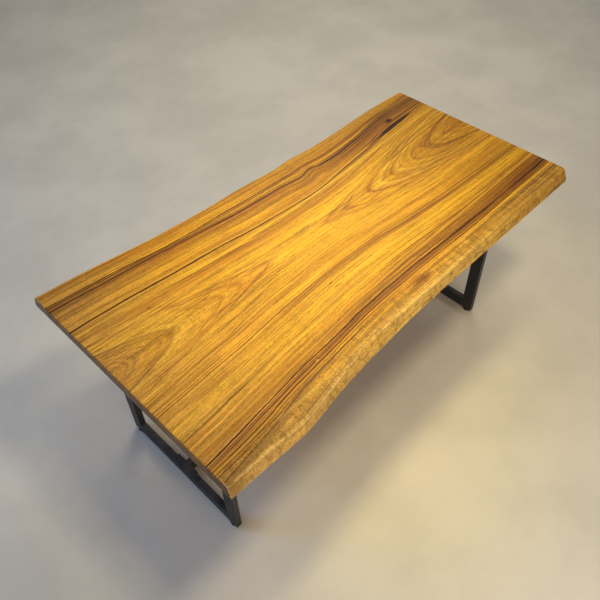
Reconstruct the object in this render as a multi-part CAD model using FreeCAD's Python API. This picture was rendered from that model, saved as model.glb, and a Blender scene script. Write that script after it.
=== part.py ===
"""Live edge dining table: one solid slab of hardwood on two steel leg frames.

The origin is on the floor, under the middle of the table. +X runs along the
slab from its wide end to its narrow end, +Y from the front edge to the back
edge, and +Z up. All sizes are in millimetres.
"""

import FreeCAD
import Part
import os

from FreeCAD import Rotation, Vector

# ---------------------------------------------------------------- slab
TABLE_LENGTH = 1800.0
TABLE_HEIGHT = 720.0
SLAB_THICKNESS = 54.0
WIDE_END_FRONT = 481.0        # from the centre line to the top front edge
WIDE_END_BACK = 479.0
NARROW_END_FRONT = 414.0
NARROW_END_BACK = 406.0
TOP_ARRIS = 2.0               # eased corner all round the top face
BOTTOM_ARRIS = 3.0
BELLY_DEPTH = 30.0            # below the top, where the live edge bulges
BELLY_SHARE = 0.68            # of the flare that is reached there

# Each live edge, from the wide end (0) to the narrow end (1): how far it
# stands outside the straight line between its two ends, and how far its
# foot flares out beyond its top.
FRONT_EDGE = [
    (0.000, 0.0, 9.5),
    (0.056, 5.0, 8.5),
    (0.116, 13.0, 7.0),
    (0.144, 17.0, 6.0),
    (0.179, 13.0, 7.0),
    (0.219, 3.0, 8.0),
    (0.261, -7.0, 10.0),
    (0.312, -20.5, 17.5),
    (0.361, -25.0, 19.0),
    (0.444, -22.5, 13.0),
    (0.556, -15.0, 8.0),
    (0.667, -10.5, 10.5),
    (0.793, -7.5, 16.0),
    (0.950, 2.0, 16.0),
    (1.000, 0.0, 22.0),
]
BACK_EDGE = [
    (0.000, 0.0, 17.0),
    (0.050, -3.0, 16.0),
    (0.109, -8.5, 13.5),
    (0.176, -19.0, 11.0),
    (0.243, -28.5, 9.0),
    (0.310, -32.0, 9.0),
    (0.377, -34.0, 11.0),
    (0.444, -30.0, 14.0),
    (0.511, -31.0, 12.0),
    (0.578, -31.0, 9.0),
    (0.611, -24.5, 9.0),
    (0.645, -27.0, 10.0),
    (0.712, -25.5, 12.0),
    (0.779, -18.0, 15.0),
    (0.846, -7.5, 16.0),
    (0.913, -1.0, 14.0),
    (1.000, 0.0, 12.0),
]

# Dark resin poured into the long crack and the pin knot, flush with the top
FILL_DEPTH = 12.0
CRACK_FROM_END = 104.0        # slab's narrow end to the crack's nearer tip
CRACK_LENGTH = 248.0
CRACK_OFFSET = 255.5          # centre line to the middle between its tips
CRACK_SLANT = 25.0            # its nearer tip lies that much closer to the back edge
CRACK_FRONT_BULGE = 6.0       # from the line between its tips
CRACK_BACK_BULGE = 12.5
KNOT_FROM_END = 211.0
KNOT_OFFSET = 295.0
KNOT_LENGTH = 21.0
KNOT_WIDTH = 11.0

# ---------------------------------------------------------------- leg frames
BASE_LENGTH = 1450.0          # over both leg frames
FRAME_WIDTH = 610.0
FRAME_INSET = 106.0           # slab's wide end to the first frame's outer face
TUBE_FACE = 50.0
TUBE_DEPTH = 25.0
TUBE_WALL = 2.3
TUBE_CORNER = 3.5
FOOT_GAP = 10.0               # floor to the underside of the bottom rail

# Plate welded on each top rail, bolted up into the slab through slots
PLATE_LENGTH = 560.0
PLATE_WIDTH = 92.0
PLATE_THICKNESS = 6.0
PLATE_CORNER = 8.0
PLATE_BOLT_X = 31.0           # from the plate's centre lines
PLATE_BOLT_Y = 235.0
PLATE_SLOT_LENGTH = 20.0

# ---------------------------------------------------------------- stretcher
STRETCHER_PLATE_THICKNESS = 5.0
STRETCHER_PLATE_WIDTH = 112.0
STRETCHER_PLATE_HEIGHT = 46.0
STRETCHER_PLATE_CORNER = 4.0
STRETCHER_BOLT_Y = 36.0

# ---------------------------------------------------------------- stiffeners
# Steel channels let into the underside so that the slab stays flat
STIFFENER_LENGTH = 640.0
STIFFENER_WIDTH = 38.0
STIFFENER_HEIGHT = 15.0
STIFFENER_WALL = 3.0
STIFFENER_SPACING = 380.0     # between neighbours, the middle one half way along the base
STIFFENER_SCREW_STEP = 135.0
STIFFENER_SLOT_LENGTH = 14.0
GROOVE_CLEARANCE = 1.0        # beside the channel
GROOVE_CORNER = 6.0           # the router's radius, clear of the channel's ends

# ---------------------------------------------------------------- fasteners
BOLT_DIAMETER = 8.0
BOLT_HEAD_ACROSS = 13.0
BOLT_HEAD_HEIGHT = 5.3
BOLT_HOLE = 9.0
PLATE_BOLT_REACH = 18.0       # into the insert
STRETCHER_BOLT_REACH = 9.0    # past the rail's inner wall
WASHER_DIAMETER = 20.0
WASHER_THICKNESS = 1.6
WASHER_HOLE = 8.6
INSERT_DIAMETER = 12.0
INSERT_LENGTH = 20.0
NUT_ACROSS = 13.0
NUT_HEIGHT = 6.5
SCREW_DIAMETER = 5.0
SCREW_HEAD_DIAMETER = 10.0
SCREW_HEAD_HEIGHT = 3.2
SCREW_REACH = 32.0            # past the channel's web
SCREW_HOLE = 6.0
THREAD_CLEARANCE = 0.05       # on the radius, between a thread and its hole

# ---------------------------------------------------------------- levellers
STUD_DIAMETER = 8.0
STUD_REACH = 30.0             # above the rail's underside
STUD_HOLE = 10.0
COLLAR_ACROSS = 14.0
COLLAR_HEIGHT = 5.0
SPIGOT_DIAMETER = 6.0
SPIGOT_LENGTH = 3.0
PAD_DIAMETER = 30.0
PAD_EDGE = 1.5                # chamfer on the pad's upper rim
FOOT_FROM_CORNER = 25.0

# ---------------------------------------------------------------- derived
HALF_LENGTH = TABLE_LENGTH / 2
UNDERSIDE = TABLE_HEIGHT - SLAB_THICKNESS
FRAME_TOP = UNDERSIDE - PLATE_THICKNESS
BASE_X = FRAME_INSET + BASE_LENGTH / 2 - HALF_LENGTH
FRAME_OUT = (BASE_LENGTH - TUBE_DEPTH) / 2      # base's middle to a frame's plane
RAIL_INNER_OUT = FRAME_OUT - TUBE_DEPTH / 2     # and to a rail's inner face
STRETCHER_Z = FOOT_GAP + TUBE_FACE / 2
FOOT_Y = FRAME_WIDTH / 2 - FOOT_FROM_CORNER
PAD_HEIGHT = FOOT_GAP - COLLAR_HEIGHT

UP = Vector(0, 0, 1)
DOWN = Vector(0, 0, -1)
ENDS = {"wide_end": -1, "narrow_end": 1}
SIDES = {"front": -1, "back": 1}


# ---------------------------------------------------------------- helpers
def save(node, *solids):
    """Write one node, as a single solid or as a group of separate ones."""
    shape = solids[0] if len(solids) == 1 else Part.makeCompound(list(solids))
    os.makedirs("parts", exist_ok=True)
    shape.exportStep(f"parts/{node}.step")
    print(f"{node:36s} {len(shape.Solids):3d} solids {shape.Volume / 1000:10.1f} cm3")


def cylinder(base, direction, diameter, height):
    """Round bar from its base point along a direction."""
    return Part.makeCylinder(diameter / 2, height, base, direction)


def hexagon(base, direction, across_flats, height):
    """Hexagonal prism from its base point along a direction."""
    turn = Rotation(UP, direction)
    corner = Vector(across_flats / 3 ** 0.5, 0, 0)
    points = [base + turn.multVec(Rotation(UP, 60 * i).multVec(corner)) for i in range(7)]
    return Part.Face(Part.makePolygon(points)).extrude(direction * height)


def rounded_rectangle(size_x, size_y, radius):
    """Face in the XY plane, centred on the origin, with round corners."""
    sheet = Part.makePlane(size_x, size_y, Vector(-size_x / 2, -size_y / 2, 0))
    block = sheet.extrude(UP)
    upright = [e for e in block.Edges if abs(e.tangentAt(e.FirstParameter).z) > 0.5]
    block = block.makeFillet(radius, upright)
    return min(block.Faces, key=lambda face: face.CenterOfMass.z)


def rounded_plate(size_x, size_y, thickness, radius):
    """Flat plate standing on z = 0, centred on the origin."""
    return rounded_rectangle(size_x, size_y, radius).extrude(UP * thickness)


def slot(x, y, z, width, length, height):
    """Slotted hole along Y, or a round one when length equals width."""
    straight = length - width
    ends = [cylinder(Vector(x, y + k * straight / 2, z), UP, width, height) for k in (-1, 1)]
    if straight <= 0:
        return ends[0]
    middle = Part.makeBox(width, straight, height, Vector(x - width / 2, y - straight / 2, z))
    return middle.fuse(ends).removeSplitter()


def frame_x(end):
    """X of one leg frame's plane."""
    return BASE_X + end * FRAME_OUT


def tube(length, size_x, size_y):
    """Rectangular tube along +Z from z = 0, centred on the Z axis."""
    outer = rounded_plate(size_x, size_y, length, TUBE_CORNER)
    inner = rounded_plate(size_x - 2 * TUBE_WALL, size_y - 2 * TUBE_WALL, length,
                          TUBE_CORNER - TUBE_WALL)
    return outer.cut(inner)


# ---------------------------------------------------------------- slab
def live_edge(profile, side, ends, flare_share, inset, z):
    """One live edge at height z, from the wide end to the narrow end."""
    at_wide, at_narrow = ends
    reach = HALF_LENGTH - inset
    points = []
    for share, wave, flare in profile:
        out = at_wide + (at_narrow - at_wide) * share + wave + flare * flare_share - inset
        points.append(Vector(reach * (2 * share - 1), side * out, z))
    curve = Part.BSplineCurve()
    curve.interpolate(Points=points, Parameters=[share for share, _, _ in profile])
    return curve.toShape()


def slab_section(flare_share, inset, z):
    """Outline of the slab at height z."""
    front = live_edge(FRONT_EDGE, -1, (WIDE_END_FRONT, NARROW_END_FRONT), flare_share, inset, z)
    back = live_edge(BACK_EDGE, 1, (WIDE_END_BACK, NARROW_END_BACK), flare_share, inset, z)
    narrow = Part.makeLine(front.Vertexes[-1].Point, back.Vertexes[-1].Point)
    wide = Part.makeLine(front.Vertexes[0].Point, back.Vertexes[0].Point)
    return Part.Wire(Part.__sortEdges__([front, narrow, back, wide]))


def slab_blank():
    """The slab before any hole or groove."""
    levels = [
        (1.0, BOTTOM_ARRIS, UNDERSIDE),
        (1.0, 0.0, UNDERSIDE + BOTTOM_ARRIS),
        (BELLY_SHARE, 0.0, TABLE_HEIGHT - BELLY_DEPTH),
        (0.0, 0.0, TABLE_HEIGHT - TOP_ARRIS),
        (0.0, TOP_ARRIS, TABLE_HEIGHT),
    ]
    return Part.makeLoft([slab_section(*level) for level in levels], True, True)


def crack_fill():
    """Resin in the crack: a long leaf between two arcs."""
    middle = Vector(HALF_LENGTH - CRACK_FROM_END - CRACK_LENGTH / 2, CRACK_OFFSET, TABLE_HEIGHT)
    half = Vector(CRACK_LENGTH, CRACK_SLANT, 0) / 2
    tips = middle - half, middle + half
    back = Part.Arc(tips[0], middle + Vector(0, CRACK_BACK_BULGE, 0), tips[1]).toShape()
    front = Part.Arc(tips[1], middle - Vector(0, CRACK_FRONT_BULGE, 0), tips[0]).toShape()
    return Part.Face(Part.Wire([back, front])).extrude(DOWN * FILL_DEPTH)


def knot_fill():
    """Resin in the pin knot: an oval plug."""
    centre = Vector(HALF_LENGTH - KNOT_FROM_END, KNOT_OFFSET, TABLE_HEIGHT)
    oval = Part.Ellipse(centre, KNOT_LENGTH / 2, KNOT_WIDTH / 2).toShape()
    return Part.Face(Part.Wire(oval)).extrude(DOWN * FILL_DEPTH)


def plate_bolt_places():
    """Where the eight bolts enter the slab's underside."""
    return [Vector(frame_x(end) + i * PLATE_BOLT_X, j * PLATE_BOLT_Y, UNDERSIDE)
            for end in ENDS.values() for i in (-1, 1) for j in (-1, 1)]


def stiffener_places():
    """X of each stiffener, by name."""
    return {"stiffener_wide_end": BASE_X - STIFFENER_SPACING, "stiffener_middle": BASE_X,
            "stiffener_narrow_end": BASE_X + STIFFENER_SPACING}


def screw_places():
    """Where the wood screws pass the stiffeners' webs."""
    return [Vector(x, k * STIFFENER_SCREW_STEP, UNDERSIDE)
            for x in stiffener_places().values() for k in (-2, -1, 0, 1, 2)]


def slab():
    """The slab with its grooves, insert holes, pilot holes and filled flaws."""
    groove = rounded_plate(STIFFENER_WIDTH + 2 * GROOVE_CLEARANCE,
                           STIFFENER_LENGTH + 2 * GROOVE_CORNER, STIFFENER_HEIGHT,
                           GROOVE_CORNER)
    cuts = [crack_fill(), knot_fill()]
    cuts += [groove.translated(Vector(x, 0, UNDERSIDE)) for x in stiffener_places().values()]
    cuts += [cylinder(p, UP, INSERT_DIAMETER, INSERT_LENGTH) for p in plate_bolt_places()]
    pilot = SCREW_DIAMETER + 2 * THREAD_CLEARANCE
    depth = STIFFENER_WALL + SCREW_REACH
    cuts += [cylinder(p, UP, pilot, depth) for p in screw_places()]
    return slab_blank().cut(cuts)


# ---------------------------------------------------------------- stiffeners
def stiffener(x):
    """Channel with its web flush with the underside and its flanges upward."""
    web = Part.makeBox(STIFFENER_WIDTH, STIFFENER_LENGTH, STIFFENER_HEIGHT,
                       Vector(x - STIFFENER_WIDTH / 2, -STIFFENER_LENGTH / 2, UNDERSIDE))
    inside = STIFFENER_WIDTH - 2 * STIFFENER_WALL
    hollow = Part.makeBox(inside, STIFFENER_LENGTH, STIFFENER_HEIGHT,
                          Vector(x - inside / 2, -STIFFENER_LENGTH / 2,
                                 UNDERSIDE + STIFFENER_WALL))
    holes = []
    for k in (-2, -1, 0, 1, 2):
        length = STIFFENER_SLOT_LENGTH if k else SCREW_HOLE
        holes.append(slot(x, k * STIFFENER_SCREW_STEP, UNDERSIDE, SCREW_HOLE, length,
                          STIFFENER_WALL))
    return web.cut([hollow] + holes)


def wood_screw(place):
    """Pan head screw driven up through a stiffener."""
    head = cylinder(place + DOWN * SCREW_HEAD_HEIGHT, UP, SCREW_HEAD_DIAMETER, SCREW_HEAD_HEIGHT)
    head = head.makeFillet(SCREW_HEAD_HEIGHT / 2, [head.Edges[2]])
    shank = cylinder(place, UP, SCREW_DIAMETER, STIFFENER_WALL + SCREW_REACH)
    return head.fuse(shank)


# ---------------------------------------------------------------- leg frames
def mitred(bar, corners):
    """The part of a bar inside a four-sided outline in the frame's plane."""
    thick = 2 * TUBE_DEPTH
    points = [Vector(-TUBE_DEPTH, y, z) for y, z in corners + corners[:1]]
    return bar.common(Part.Face(Part.makePolygon(points)).extrude(Vector(thick, 0, 0)))


def frame_members():
    """The four mitred tubes of a frame whose plane is x = 0, by name."""
    outer, inner = FRAME_WIDTH / 2, FRAME_WIDTH / 2 - TUBE_FACE
    low, high = FOOT_GAP, FRAME_TOP
    low_in, high_in = low + TUBE_FACE, high - TUBE_FACE
    upright = tube(high - low, TUBE_DEPTH, TUBE_FACE)
    level = tube(FRAME_WIDTH, TUBE_DEPTH, TUBE_FACE)
    level.Placement = FreeCAD.Placement(Vector(0, -outer, 0), Rotation(Vector(1, 0, 0), -90))
    members = {}
    for name, side in SIDES.items():
        post = upright.translated(Vector(0, side * (outer - TUBE_FACE / 2), low))
        members[f"{name}_post"] = mitred(post, [
            (side * outer, low), (side * outer, high), (side * inner, high_in),
            (side * inner, low_in)])
    members["bottom_rail"] = mitred(level.translated(Vector(0, 0, low + TUBE_FACE / 2)), [
        (-outer, low), (outer, low), (inner, low_in), (-inner, low_in)])
    members["top_rail"] = mitred(level.translated(Vector(0, 0, high - TUBE_FACE / 2)), [
        (-outer, high), (outer, high), (inner, high_in), (-inner, high_in)])
    return members


def bottom_rail_holes(end):
    """Holes for the two levellers and, in the inner wall, the stretcher's bolts."""
    holes = [cylinder(Vector(frame_x(end), side * FOOT_Y, FOOT_GAP), UP, STUD_HOLE, TUBE_WALL)
             for side in SIDES.values()]
    wall = Vector(BASE_X + end * RAIL_INNER_OUT, 0, STRETCHER_Z)
    holes += [cylinder(wall + Vector(0, k * STRETCHER_BOLT_Y, 0), Vector(end, 0, 0), BOLT_HOLE,
                       TUBE_WALL) for k in (-1, 1)]
    return holes


def mounting_plate(end):
    """Plate on the top rail, with four slots that let the wood move."""
    plate = rounded_plate(PLATE_WIDTH, PLATE_LENGTH, PLATE_THICKNESS, PLATE_CORNER)
    plate.translate(Vector(frame_x(end), 0, FRAME_TOP))
    slots = [slot(frame_x(end) + i * PLATE_BOLT_X, j * PLATE_BOLT_Y, FRAME_TOP, BOLT_HOLE,
                  PLATE_SLOT_LENGTH, PLATE_THICKNESS) for i in (-1, 1) for j in (-1, 1)]
    return plate.cut(slots)


# ---------------------------------------------------------------- stretcher
def stretcher():
    """Tube on edge between the two bottom rails' plates."""
    length = 2 * (RAIL_INNER_OUT - STRETCHER_PLATE_THICKNESS)
    bar = tube(length, TUBE_FACE, TUBE_DEPTH)
    bar.Placement = FreeCAD.Placement(Vector(BASE_X - length / 2, 0, STRETCHER_Z),
                                      Rotation(Vector(0, 1, 0), 90))
    return bar


def stretcher_plate(end):
    """Plate welded on the stretcher's end, against the rail's inner face."""
    plate = rounded_plate(STRETCHER_PLATE_HEIGHT, STRETCHER_PLATE_WIDTH,
                          STRETCHER_PLATE_THICKNESS, STRETCHER_PLATE_CORNER)
    base = Vector(BASE_X + end * (RAIL_INNER_OUT - STRETCHER_PLATE_THICKNESS), 0, STRETCHER_Z)
    plate.Placement = FreeCAD.Placement(base, Rotation(Vector(0, 1, 0), end * 90))
    holes = [cylinder(base + Vector(0, k * STRETCHER_BOLT_Y, 0), Vector(end, 0, 0), BOLT_HOLE,
                      STRETCHER_PLATE_THICKNESS) for k in (-1, 1)]
    return plate.cut(holes)


def stretcher_bolt_places():
    """Where the stretcher's bolts pass the plates' near faces, with their direction."""
    out = RAIL_INNER_OUT - STRETCHER_PLATE_THICKNESS
    return [(Vector(BASE_X + end * out, k * STRETCHER_BOLT_Y, STRETCHER_Z), Vector(end, 0, 0))
            for end in ENDS.values() for k in (-1, 1)]


# ---------------------------------------------------------------- fasteners
def washer(place, direction):
    """Washer whose outer face is at place, seen from the bolt's head."""
    ring = cylinder(place, direction * -1, WASHER_DIAMETER, WASHER_THICKNESS)
    return ring.cut(cylinder(place, direction * -1, WASHER_HOLE, WASHER_THICKNESS))


def bolt(place, direction, reach):
    """Hex bolt through a washer seated at place, reaching past it."""
    seat = place - direction * WASHER_THICKNESS
    head = hexagon(seat - direction * BOLT_HEAD_HEIGHT, direction, BOLT_HEAD_ACROSS,
                   BOLT_HEAD_HEIGHT)
    return head.fuse(cylinder(seat, direction, BOLT_DIAMETER, WASHER_THICKNESS + reach))


def nut(place, direction):
    """Hex nut standing on place."""
    bore = BOLT_DIAMETER + 2 * THREAD_CLEARANCE
    body = hexagon(place, direction, NUT_ACROSS, NUT_HEIGHT)
    return body.cut(cylinder(place, direction, bore, NUT_HEIGHT))


def insert(place):
    """Threaded sleeve in the slab's underside."""
    bore = BOLT_DIAMETER + 2 * THREAD_CLEARANCE
    body = cylinder(place, UP, INSERT_DIAMETER, INSERT_LENGTH)
    return body.cut(cylinder(place, UP, bore, INSERT_LENGTH))


# ---------------------------------------------------------------- levellers
def leveller_stud(place):
    """Threaded stud with a hex collar and a spigot for the pad."""
    collar = hexagon(place + DOWN * COLLAR_HEIGHT, UP, COLLAR_ACROSS, COLLAR_HEIGHT)
    shank = cylinder(place, UP, STUD_DIAMETER, STUD_REACH)
    spigot = cylinder(place + DOWN * (COLLAR_HEIGHT + SPIGOT_LENGTH), UP, SPIGOT_DIAMETER,
                      SPIGOT_LENGTH)
    return collar.fuse([shank, spigot])


def leveller_pad(place):
    """Round pad under the collar, down to the floor."""
    top = place + DOWN * COLLAR_HEIGHT
    disc = cylinder(top + DOWN * PAD_HEIGHT, UP, PAD_DIAMETER, PAD_HEIGHT)
    upper_rim = max(disc.Edges, key=lambda e: e.CenterOfMass.z if e.Closed else -1)
    disc = disc.makeChamfer(PAD_EDGE, [upper_rim])
    return disc.cut(cylinder(top, DOWN, SPIGOT_DIAMETER, SPIGOT_LENGTH))


# ---------------------------------------------------------------- assembly
def save_slab_group():
    """The slab, what fills it and what stiffens it."""
    save("slab", slab())
    save("crack_fill", crack_fill())
    save("knot_fill", knot_fill())
    for name, x in stiffener_places().items():
        save(name, stiffener(x))
    save("stiffener_screws", *[wood_screw(p) for p in screw_places()])
    save("slab_inserts", *[insert(p) for p in plate_bolt_places()])


def save_frames():
    """Both leg frames with their plates and the nuts for the levellers."""
    for end_name, end in ENDS.items():
        for name, member in frame_members().items():
            member = member.translated(Vector(frame_x(end), 0, 0))
            if name == "bottom_rail":
                member = member.cut(bottom_rail_holes(end))
            save(f"{end_name}_{name}", member)
        save(f"{end_name}_mounting_plate", mounting_plate(end))
    seats = [p - UP * PLATE_THICKNESS for p in plate_bolt_places()]
    save("mounting_washers", *[washer(p, UP) for p in seats])
    save("mounting_bolts", *[bolt(p, UP, PLATE_THICKNESS + PLATE_BOLT_REACH) for p in seats])


def save_stretcher():
    """The stretcher, its end plates and what bolts them to the rails."""
    save("stretcher", stretcher())
    for end_name, end in ENDS.items():
        save(f"stretcher_{end_name}_plate", stretcher_plate(end))
    places = stretcher_bolt_places()
    through = STRETCHER_PLATE_THICKNESS + TUBE_WALL
    save("stretcher_washers", *[washer(p, d) for p, d in places])
    save("stretcher_bolts", *[bolt(p, d, through + STRETCHER_BOLT_REACH) for p, d in places])
    save("stretcher_nuts", *[nut(p + d * through, d) for p, d in places])


def save_levellers():
    """Four screw-in feet and the nuts that they turn in."""
    nuts = []
    for end_name, end in ENDS.items():
        for side_name, side in SIDES.items():
            place = Vector(frame_x(end), side * FOOT_Y, FOOT_GAP)
            save(f"leveller_stud_{end_name}_{side_name}", leveller_stud(place))
            save(f"leveller_pad_{end_name}_{side_name}", leveller_pad(place))
            nuts.append(nut(place + UP * TUBE_WALL, UP))
    save("leveller_nuts", *nuts)


save_slab_group()
save_frames()
save_stretcher()
save_levellers()
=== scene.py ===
"""Live edge dining table: a finish for every piece, and finer shapes for some of them.

All lengths are in metres, in the frame's own axes: +X runs along the slab from its wide
end to its narrow end, +Y from its front edge to its back edge, and +Z up.
"""

import logging
import math
from collections.abc import Iterable, Sequence
from dataclasses import dataclass
from enum import Enum

import bmesh
import bpy
from mathutils import Matrix, Vector, noise


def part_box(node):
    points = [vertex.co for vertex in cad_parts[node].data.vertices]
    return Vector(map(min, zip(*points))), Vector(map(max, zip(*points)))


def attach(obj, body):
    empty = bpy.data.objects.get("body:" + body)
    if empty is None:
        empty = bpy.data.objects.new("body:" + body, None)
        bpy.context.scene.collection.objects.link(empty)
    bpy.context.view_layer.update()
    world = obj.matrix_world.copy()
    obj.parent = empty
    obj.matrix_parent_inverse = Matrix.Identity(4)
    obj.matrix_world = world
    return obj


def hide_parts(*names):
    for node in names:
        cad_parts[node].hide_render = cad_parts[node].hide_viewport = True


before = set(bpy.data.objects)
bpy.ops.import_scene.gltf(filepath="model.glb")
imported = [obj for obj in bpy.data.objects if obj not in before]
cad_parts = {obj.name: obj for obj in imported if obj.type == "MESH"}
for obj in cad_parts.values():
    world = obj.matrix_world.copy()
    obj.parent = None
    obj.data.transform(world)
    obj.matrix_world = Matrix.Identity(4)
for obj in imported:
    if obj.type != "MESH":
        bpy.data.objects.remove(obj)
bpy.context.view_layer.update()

log = logging.getLogger("dining_table")

Socket = bpy.types.NodeSocket
Value = Socket | float
Colour = tuple[float, float, float, float]
Pair = tuple[float, float]
Triple = tuple[float, float, float]
Mesh = bmesh.types.BMesh
Edges = list[bmesh.types.BMEdge]

TABLE = "table"
ENDS = ("wide_end", "narrow_end")
SIDES = ("front", "back")
SLAB_LOW, SLAB_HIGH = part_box("slab")
ALONG = Vector((1.0, 0.0, 0.0))
UP = Vector((0.0, 0.0, 1.0))
BITE = 0.0002           # how far a shape reaches into the one that it sits on


class Slot(Enum):
    """The material slots."""

    WOOD = "slab_wood"
    RESIN = "dark_resin"
    COAT = "black_powder_coat"
    ZINC = "zinc_plated_steel"
    NYLON = "black_nylon"


# ---------------------------------------------------------------- colours and nodes
def srgb(red: int, green: int, blue: int) -> Colour:
    """Turn a display colour into the linear colour that shaders use.

    Args:
        red: The red value, 0 to 255.
        green: The green value, 0 to 255.
        blue: The blue value, 0 to 255.

    Returns:
        The linear colour with full alpha.
    """
    parts = []
    for value in (red, green, blue):
        share = value / 255
        parts.append(share / 12.92 if share <= 0.04045 else ((share + 0.055) / 1.055) ** 2.4)
    return (*parts, 1.0)


class WoodTone(Enum):
    """The colours found in the slab, from the sapwood to the darkest streak."""

    # Pale sanded wood, also used as the painted highlight along the eased arris.
    BARE = srgb(242, 208, 138)
    CREAM = srgb(226, 186, 96)
    STRAW = srgb(240, 188, 58)
    DUN = srgb(196, 144, 80)
    TAN = srgb(196, 147, 58)
    GOLD = srgb(228, 169, 34)
    HONEY = srgb(212, 150, 28)
    AMBER = srgb(188, 125, 22)
    SIENNA = srgb(168, 102, 24)
    RUSSET = srgb(132, 79, 22)
    OLIVE = srgb(132, 98, 42)
    UMBER = srgb(90, 46, 12)
    INK = srgb(54, 20, 8)


BARE, CREAM, STRAW, DUN, TAN, GOLD, HONEY, AMBER, SIENNA, RUSSET, OLIVE, UMBER, INK = WoodTone


class Nodes:
    """Adds shader nodes to one tree and wires each to what feeds it."""

    def __init__(self, tree: bpy.types.NodeTree) -> None:
        """Keep the tree that nodes are added to."""
        self.tree = tree

    def feed(self, socket: Socket, value: Value | Sequence[float]) -> None:
        """Link a socket's source, or set its value when there is none."""
        if isinstance(value, bpy.types.NodeSocket):
            self.tree.links.new(value, socket)
        else:
            socket.default_value = value

    def add(self, kind: str, inputs: dict | None = None, **settings: object) -> bpy.types.Node:
        """Add a node.

        Args:
            kind: Blender's name for the kind of node.
            inputs: What feeds its inputs, by name or number.
            **settings: The node's own properties.

        Returns:
            The new node.
        """
        node = self.tree.nodes.new(kind)
        for name, value in settings.items():
            setattr(node, name, value)
        for name, value in (inputs or {}).items():
            self.feed(node.inputs[name], value)
        return node

    def place(self, kind: str = "Object") -> Socket:
        """Give the point on the object, or another coordinate of it by name."""
        return self.add("ShaderNodeTexCoord").outputs[kind]

    def parts(self, kind: str = "Object") -> tuple[Socket, Socket, Socket]:
        """Give the X, Y and Z of the point on the object, or of another coordinate."""
        return tuple(self.add("ShaderNodeSeparateXYZ", {0: self.place(kind)}).outputs)

    def math(self, operation: str, *values: Value, clamp: bool = False) -> Socket:
        """Add a Math node and return its result."""
        inputs = dict(enumerate(values))
        return self.add("ShaderNodeMath", inputs, operation=operation, use_clamp=clamp).outputs[0]

    def plus(self, first: Value, second: Value) -> Socket:
        """Add two values."""
        return self.math("ADD", first, second)

    def minus(self, first: Value, second: Value) -> Socket:
        """Take the second value from the first."""
        return self.math("SUBTRACT", first, second)

    def times(self, first: Value, second: Value) -> Socket:
        """Multiply two values."""
        return self.math("MULTIPLY", first, second)

    def power(self, value: Socket, exponent: float = 2.0) -> Socket:
        """Raise a value to a power, by default square it."""
        return self.math("POWER", value, exponent)

    def linear(self, value: Socket, factor: float, shift: Value) -> Socket:
        """Multiply a value and add to it."""
        return self.math("MULTIPLY_ADD", value, factor, shift)

    def swing(self, noise_value: Socket, width: float) -> Socket:
        """Turn a noise value into a swing of this width about 0."""
        return self.linear(noise_value, width, -width / 2)

    def size(self, value: Socket) -> Socket:
        """Give a value without its sign."""
        return self.math("ABSOLUTE", value)

    def mix(self, factor: Value, first: Socket | Colour, second: Socket | Colour,
            blend: str = "MIX") -> Socket:
        """Add a colour mix and return its result."""
        node = self.add("ShaderNodeMix", {0: factor, 6: first, 7: second}, data_type="RGBA",
                        blend_type=blend)
        return node.outputs[2]

    def tint(self, mask: Value, colour: Socket, tone: WoodTone) -> Socket:
        """Lay a wood tone over a colour through a mask."""
        return self.mix(mask, colour, tone.value)

    def choose(self, factor: Socket, first: Value, second: Value) -> Socket:
        """Add a number mix and return its result."""
        return self.add("ShaderNodeMix", {0: factor, 2: first, 3: second}).outputs[0]

    def step(self, value: Socket, start: float, end: float, low: float = 0.0,
             high: Value = 1.0) -> Socket:
        """Rise smoothly from low to high as the value goes from start to end."""
        node = self.add("ShaderNodeMapRange", {0: value, 1: start, 2: end, 3: low, 4: high},
                        interpolation_type="SMOOTHSTEP")
        return node.outputs[0]

    def join(self, x: Socket, y: Socket, z: Socket) -> Socket:
        """Join three numbers into a vector."""
        return self.add("ShaderNodeCombineXYZ", {0: x, 1: y, 2: z}).outputs[0]

    def noise(self, vector: Socket, scale: Value = 1.0, detail: float = 2.0,
              roughness: float = 0.5) -> Socket:
        """Add a Noise Texture and return its value, 0 to 1 around 0.5."""
        inputs = {"Vector": vector, "Scale": scale, "Detail": detail, "Roughness": roughness}
        return self.add("ShaderNodeTexNoise", inputs).outputs[0]

    def grain(self, axes: Sequence[Socket], scale: Triple, detail: float = 2.0,
              roughness: float = 0.5) -> Socket:
        """Give noise along three axes, each with its own scale."""
        point = self.join(*(self.times(axis, factor) for axis, factor in zip(axes, scale)))
        return self.noise(point, 1.0, detail, roughness)

    def bump(self, height: Socket, strength: float, distance: float) -> Socket:
        """Add a Bump node and return its normal."""
        inputs = {"Strength": strength, "Distance": distance, "Height": height}
        return self.add("ShaderNodeBump", inputs).outputs[0]

    def curve(self, value: Socket, points: Sequence[Pair]) -> Socket:
        """Draw a smooth curve through points and read it at a value.

        Args:
            value: Where the curve is read, 0 to 1.
            points: The curve's points in order, both numbers 0 to 1.

        Returns:
            The curve's height there.
        """
        node = self.add("ShaderNodeFloatCurve", {"Value": value})
        line = node.mapping.curves[0]
        line.points[0].location = points[0]
        line.points[-1].location = points[-1]
        for point in points[1:-1]:
            line.points.new(*point)
        node.mapping.update()
        return node.outputs[0]

    def ramp(self, value: Socket, stops: Sequence[tuple[float, WoodTone]]) -> Socket:
        """Blend wood tones along a value from 0 to 1."""
        node = self.add("ShaderNodeValToRGB", {0: value})
        elements = node.color_ramp.elements
        while len(elements) > 1:
            elements.remove(elements[-1])
        for number, (place, tone) in enumerate(stops):
            element = elements[0] if number == 0 else elements.new(place)
            element.position = place
            element.color = tone.value
        return node.outputs[0]


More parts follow.
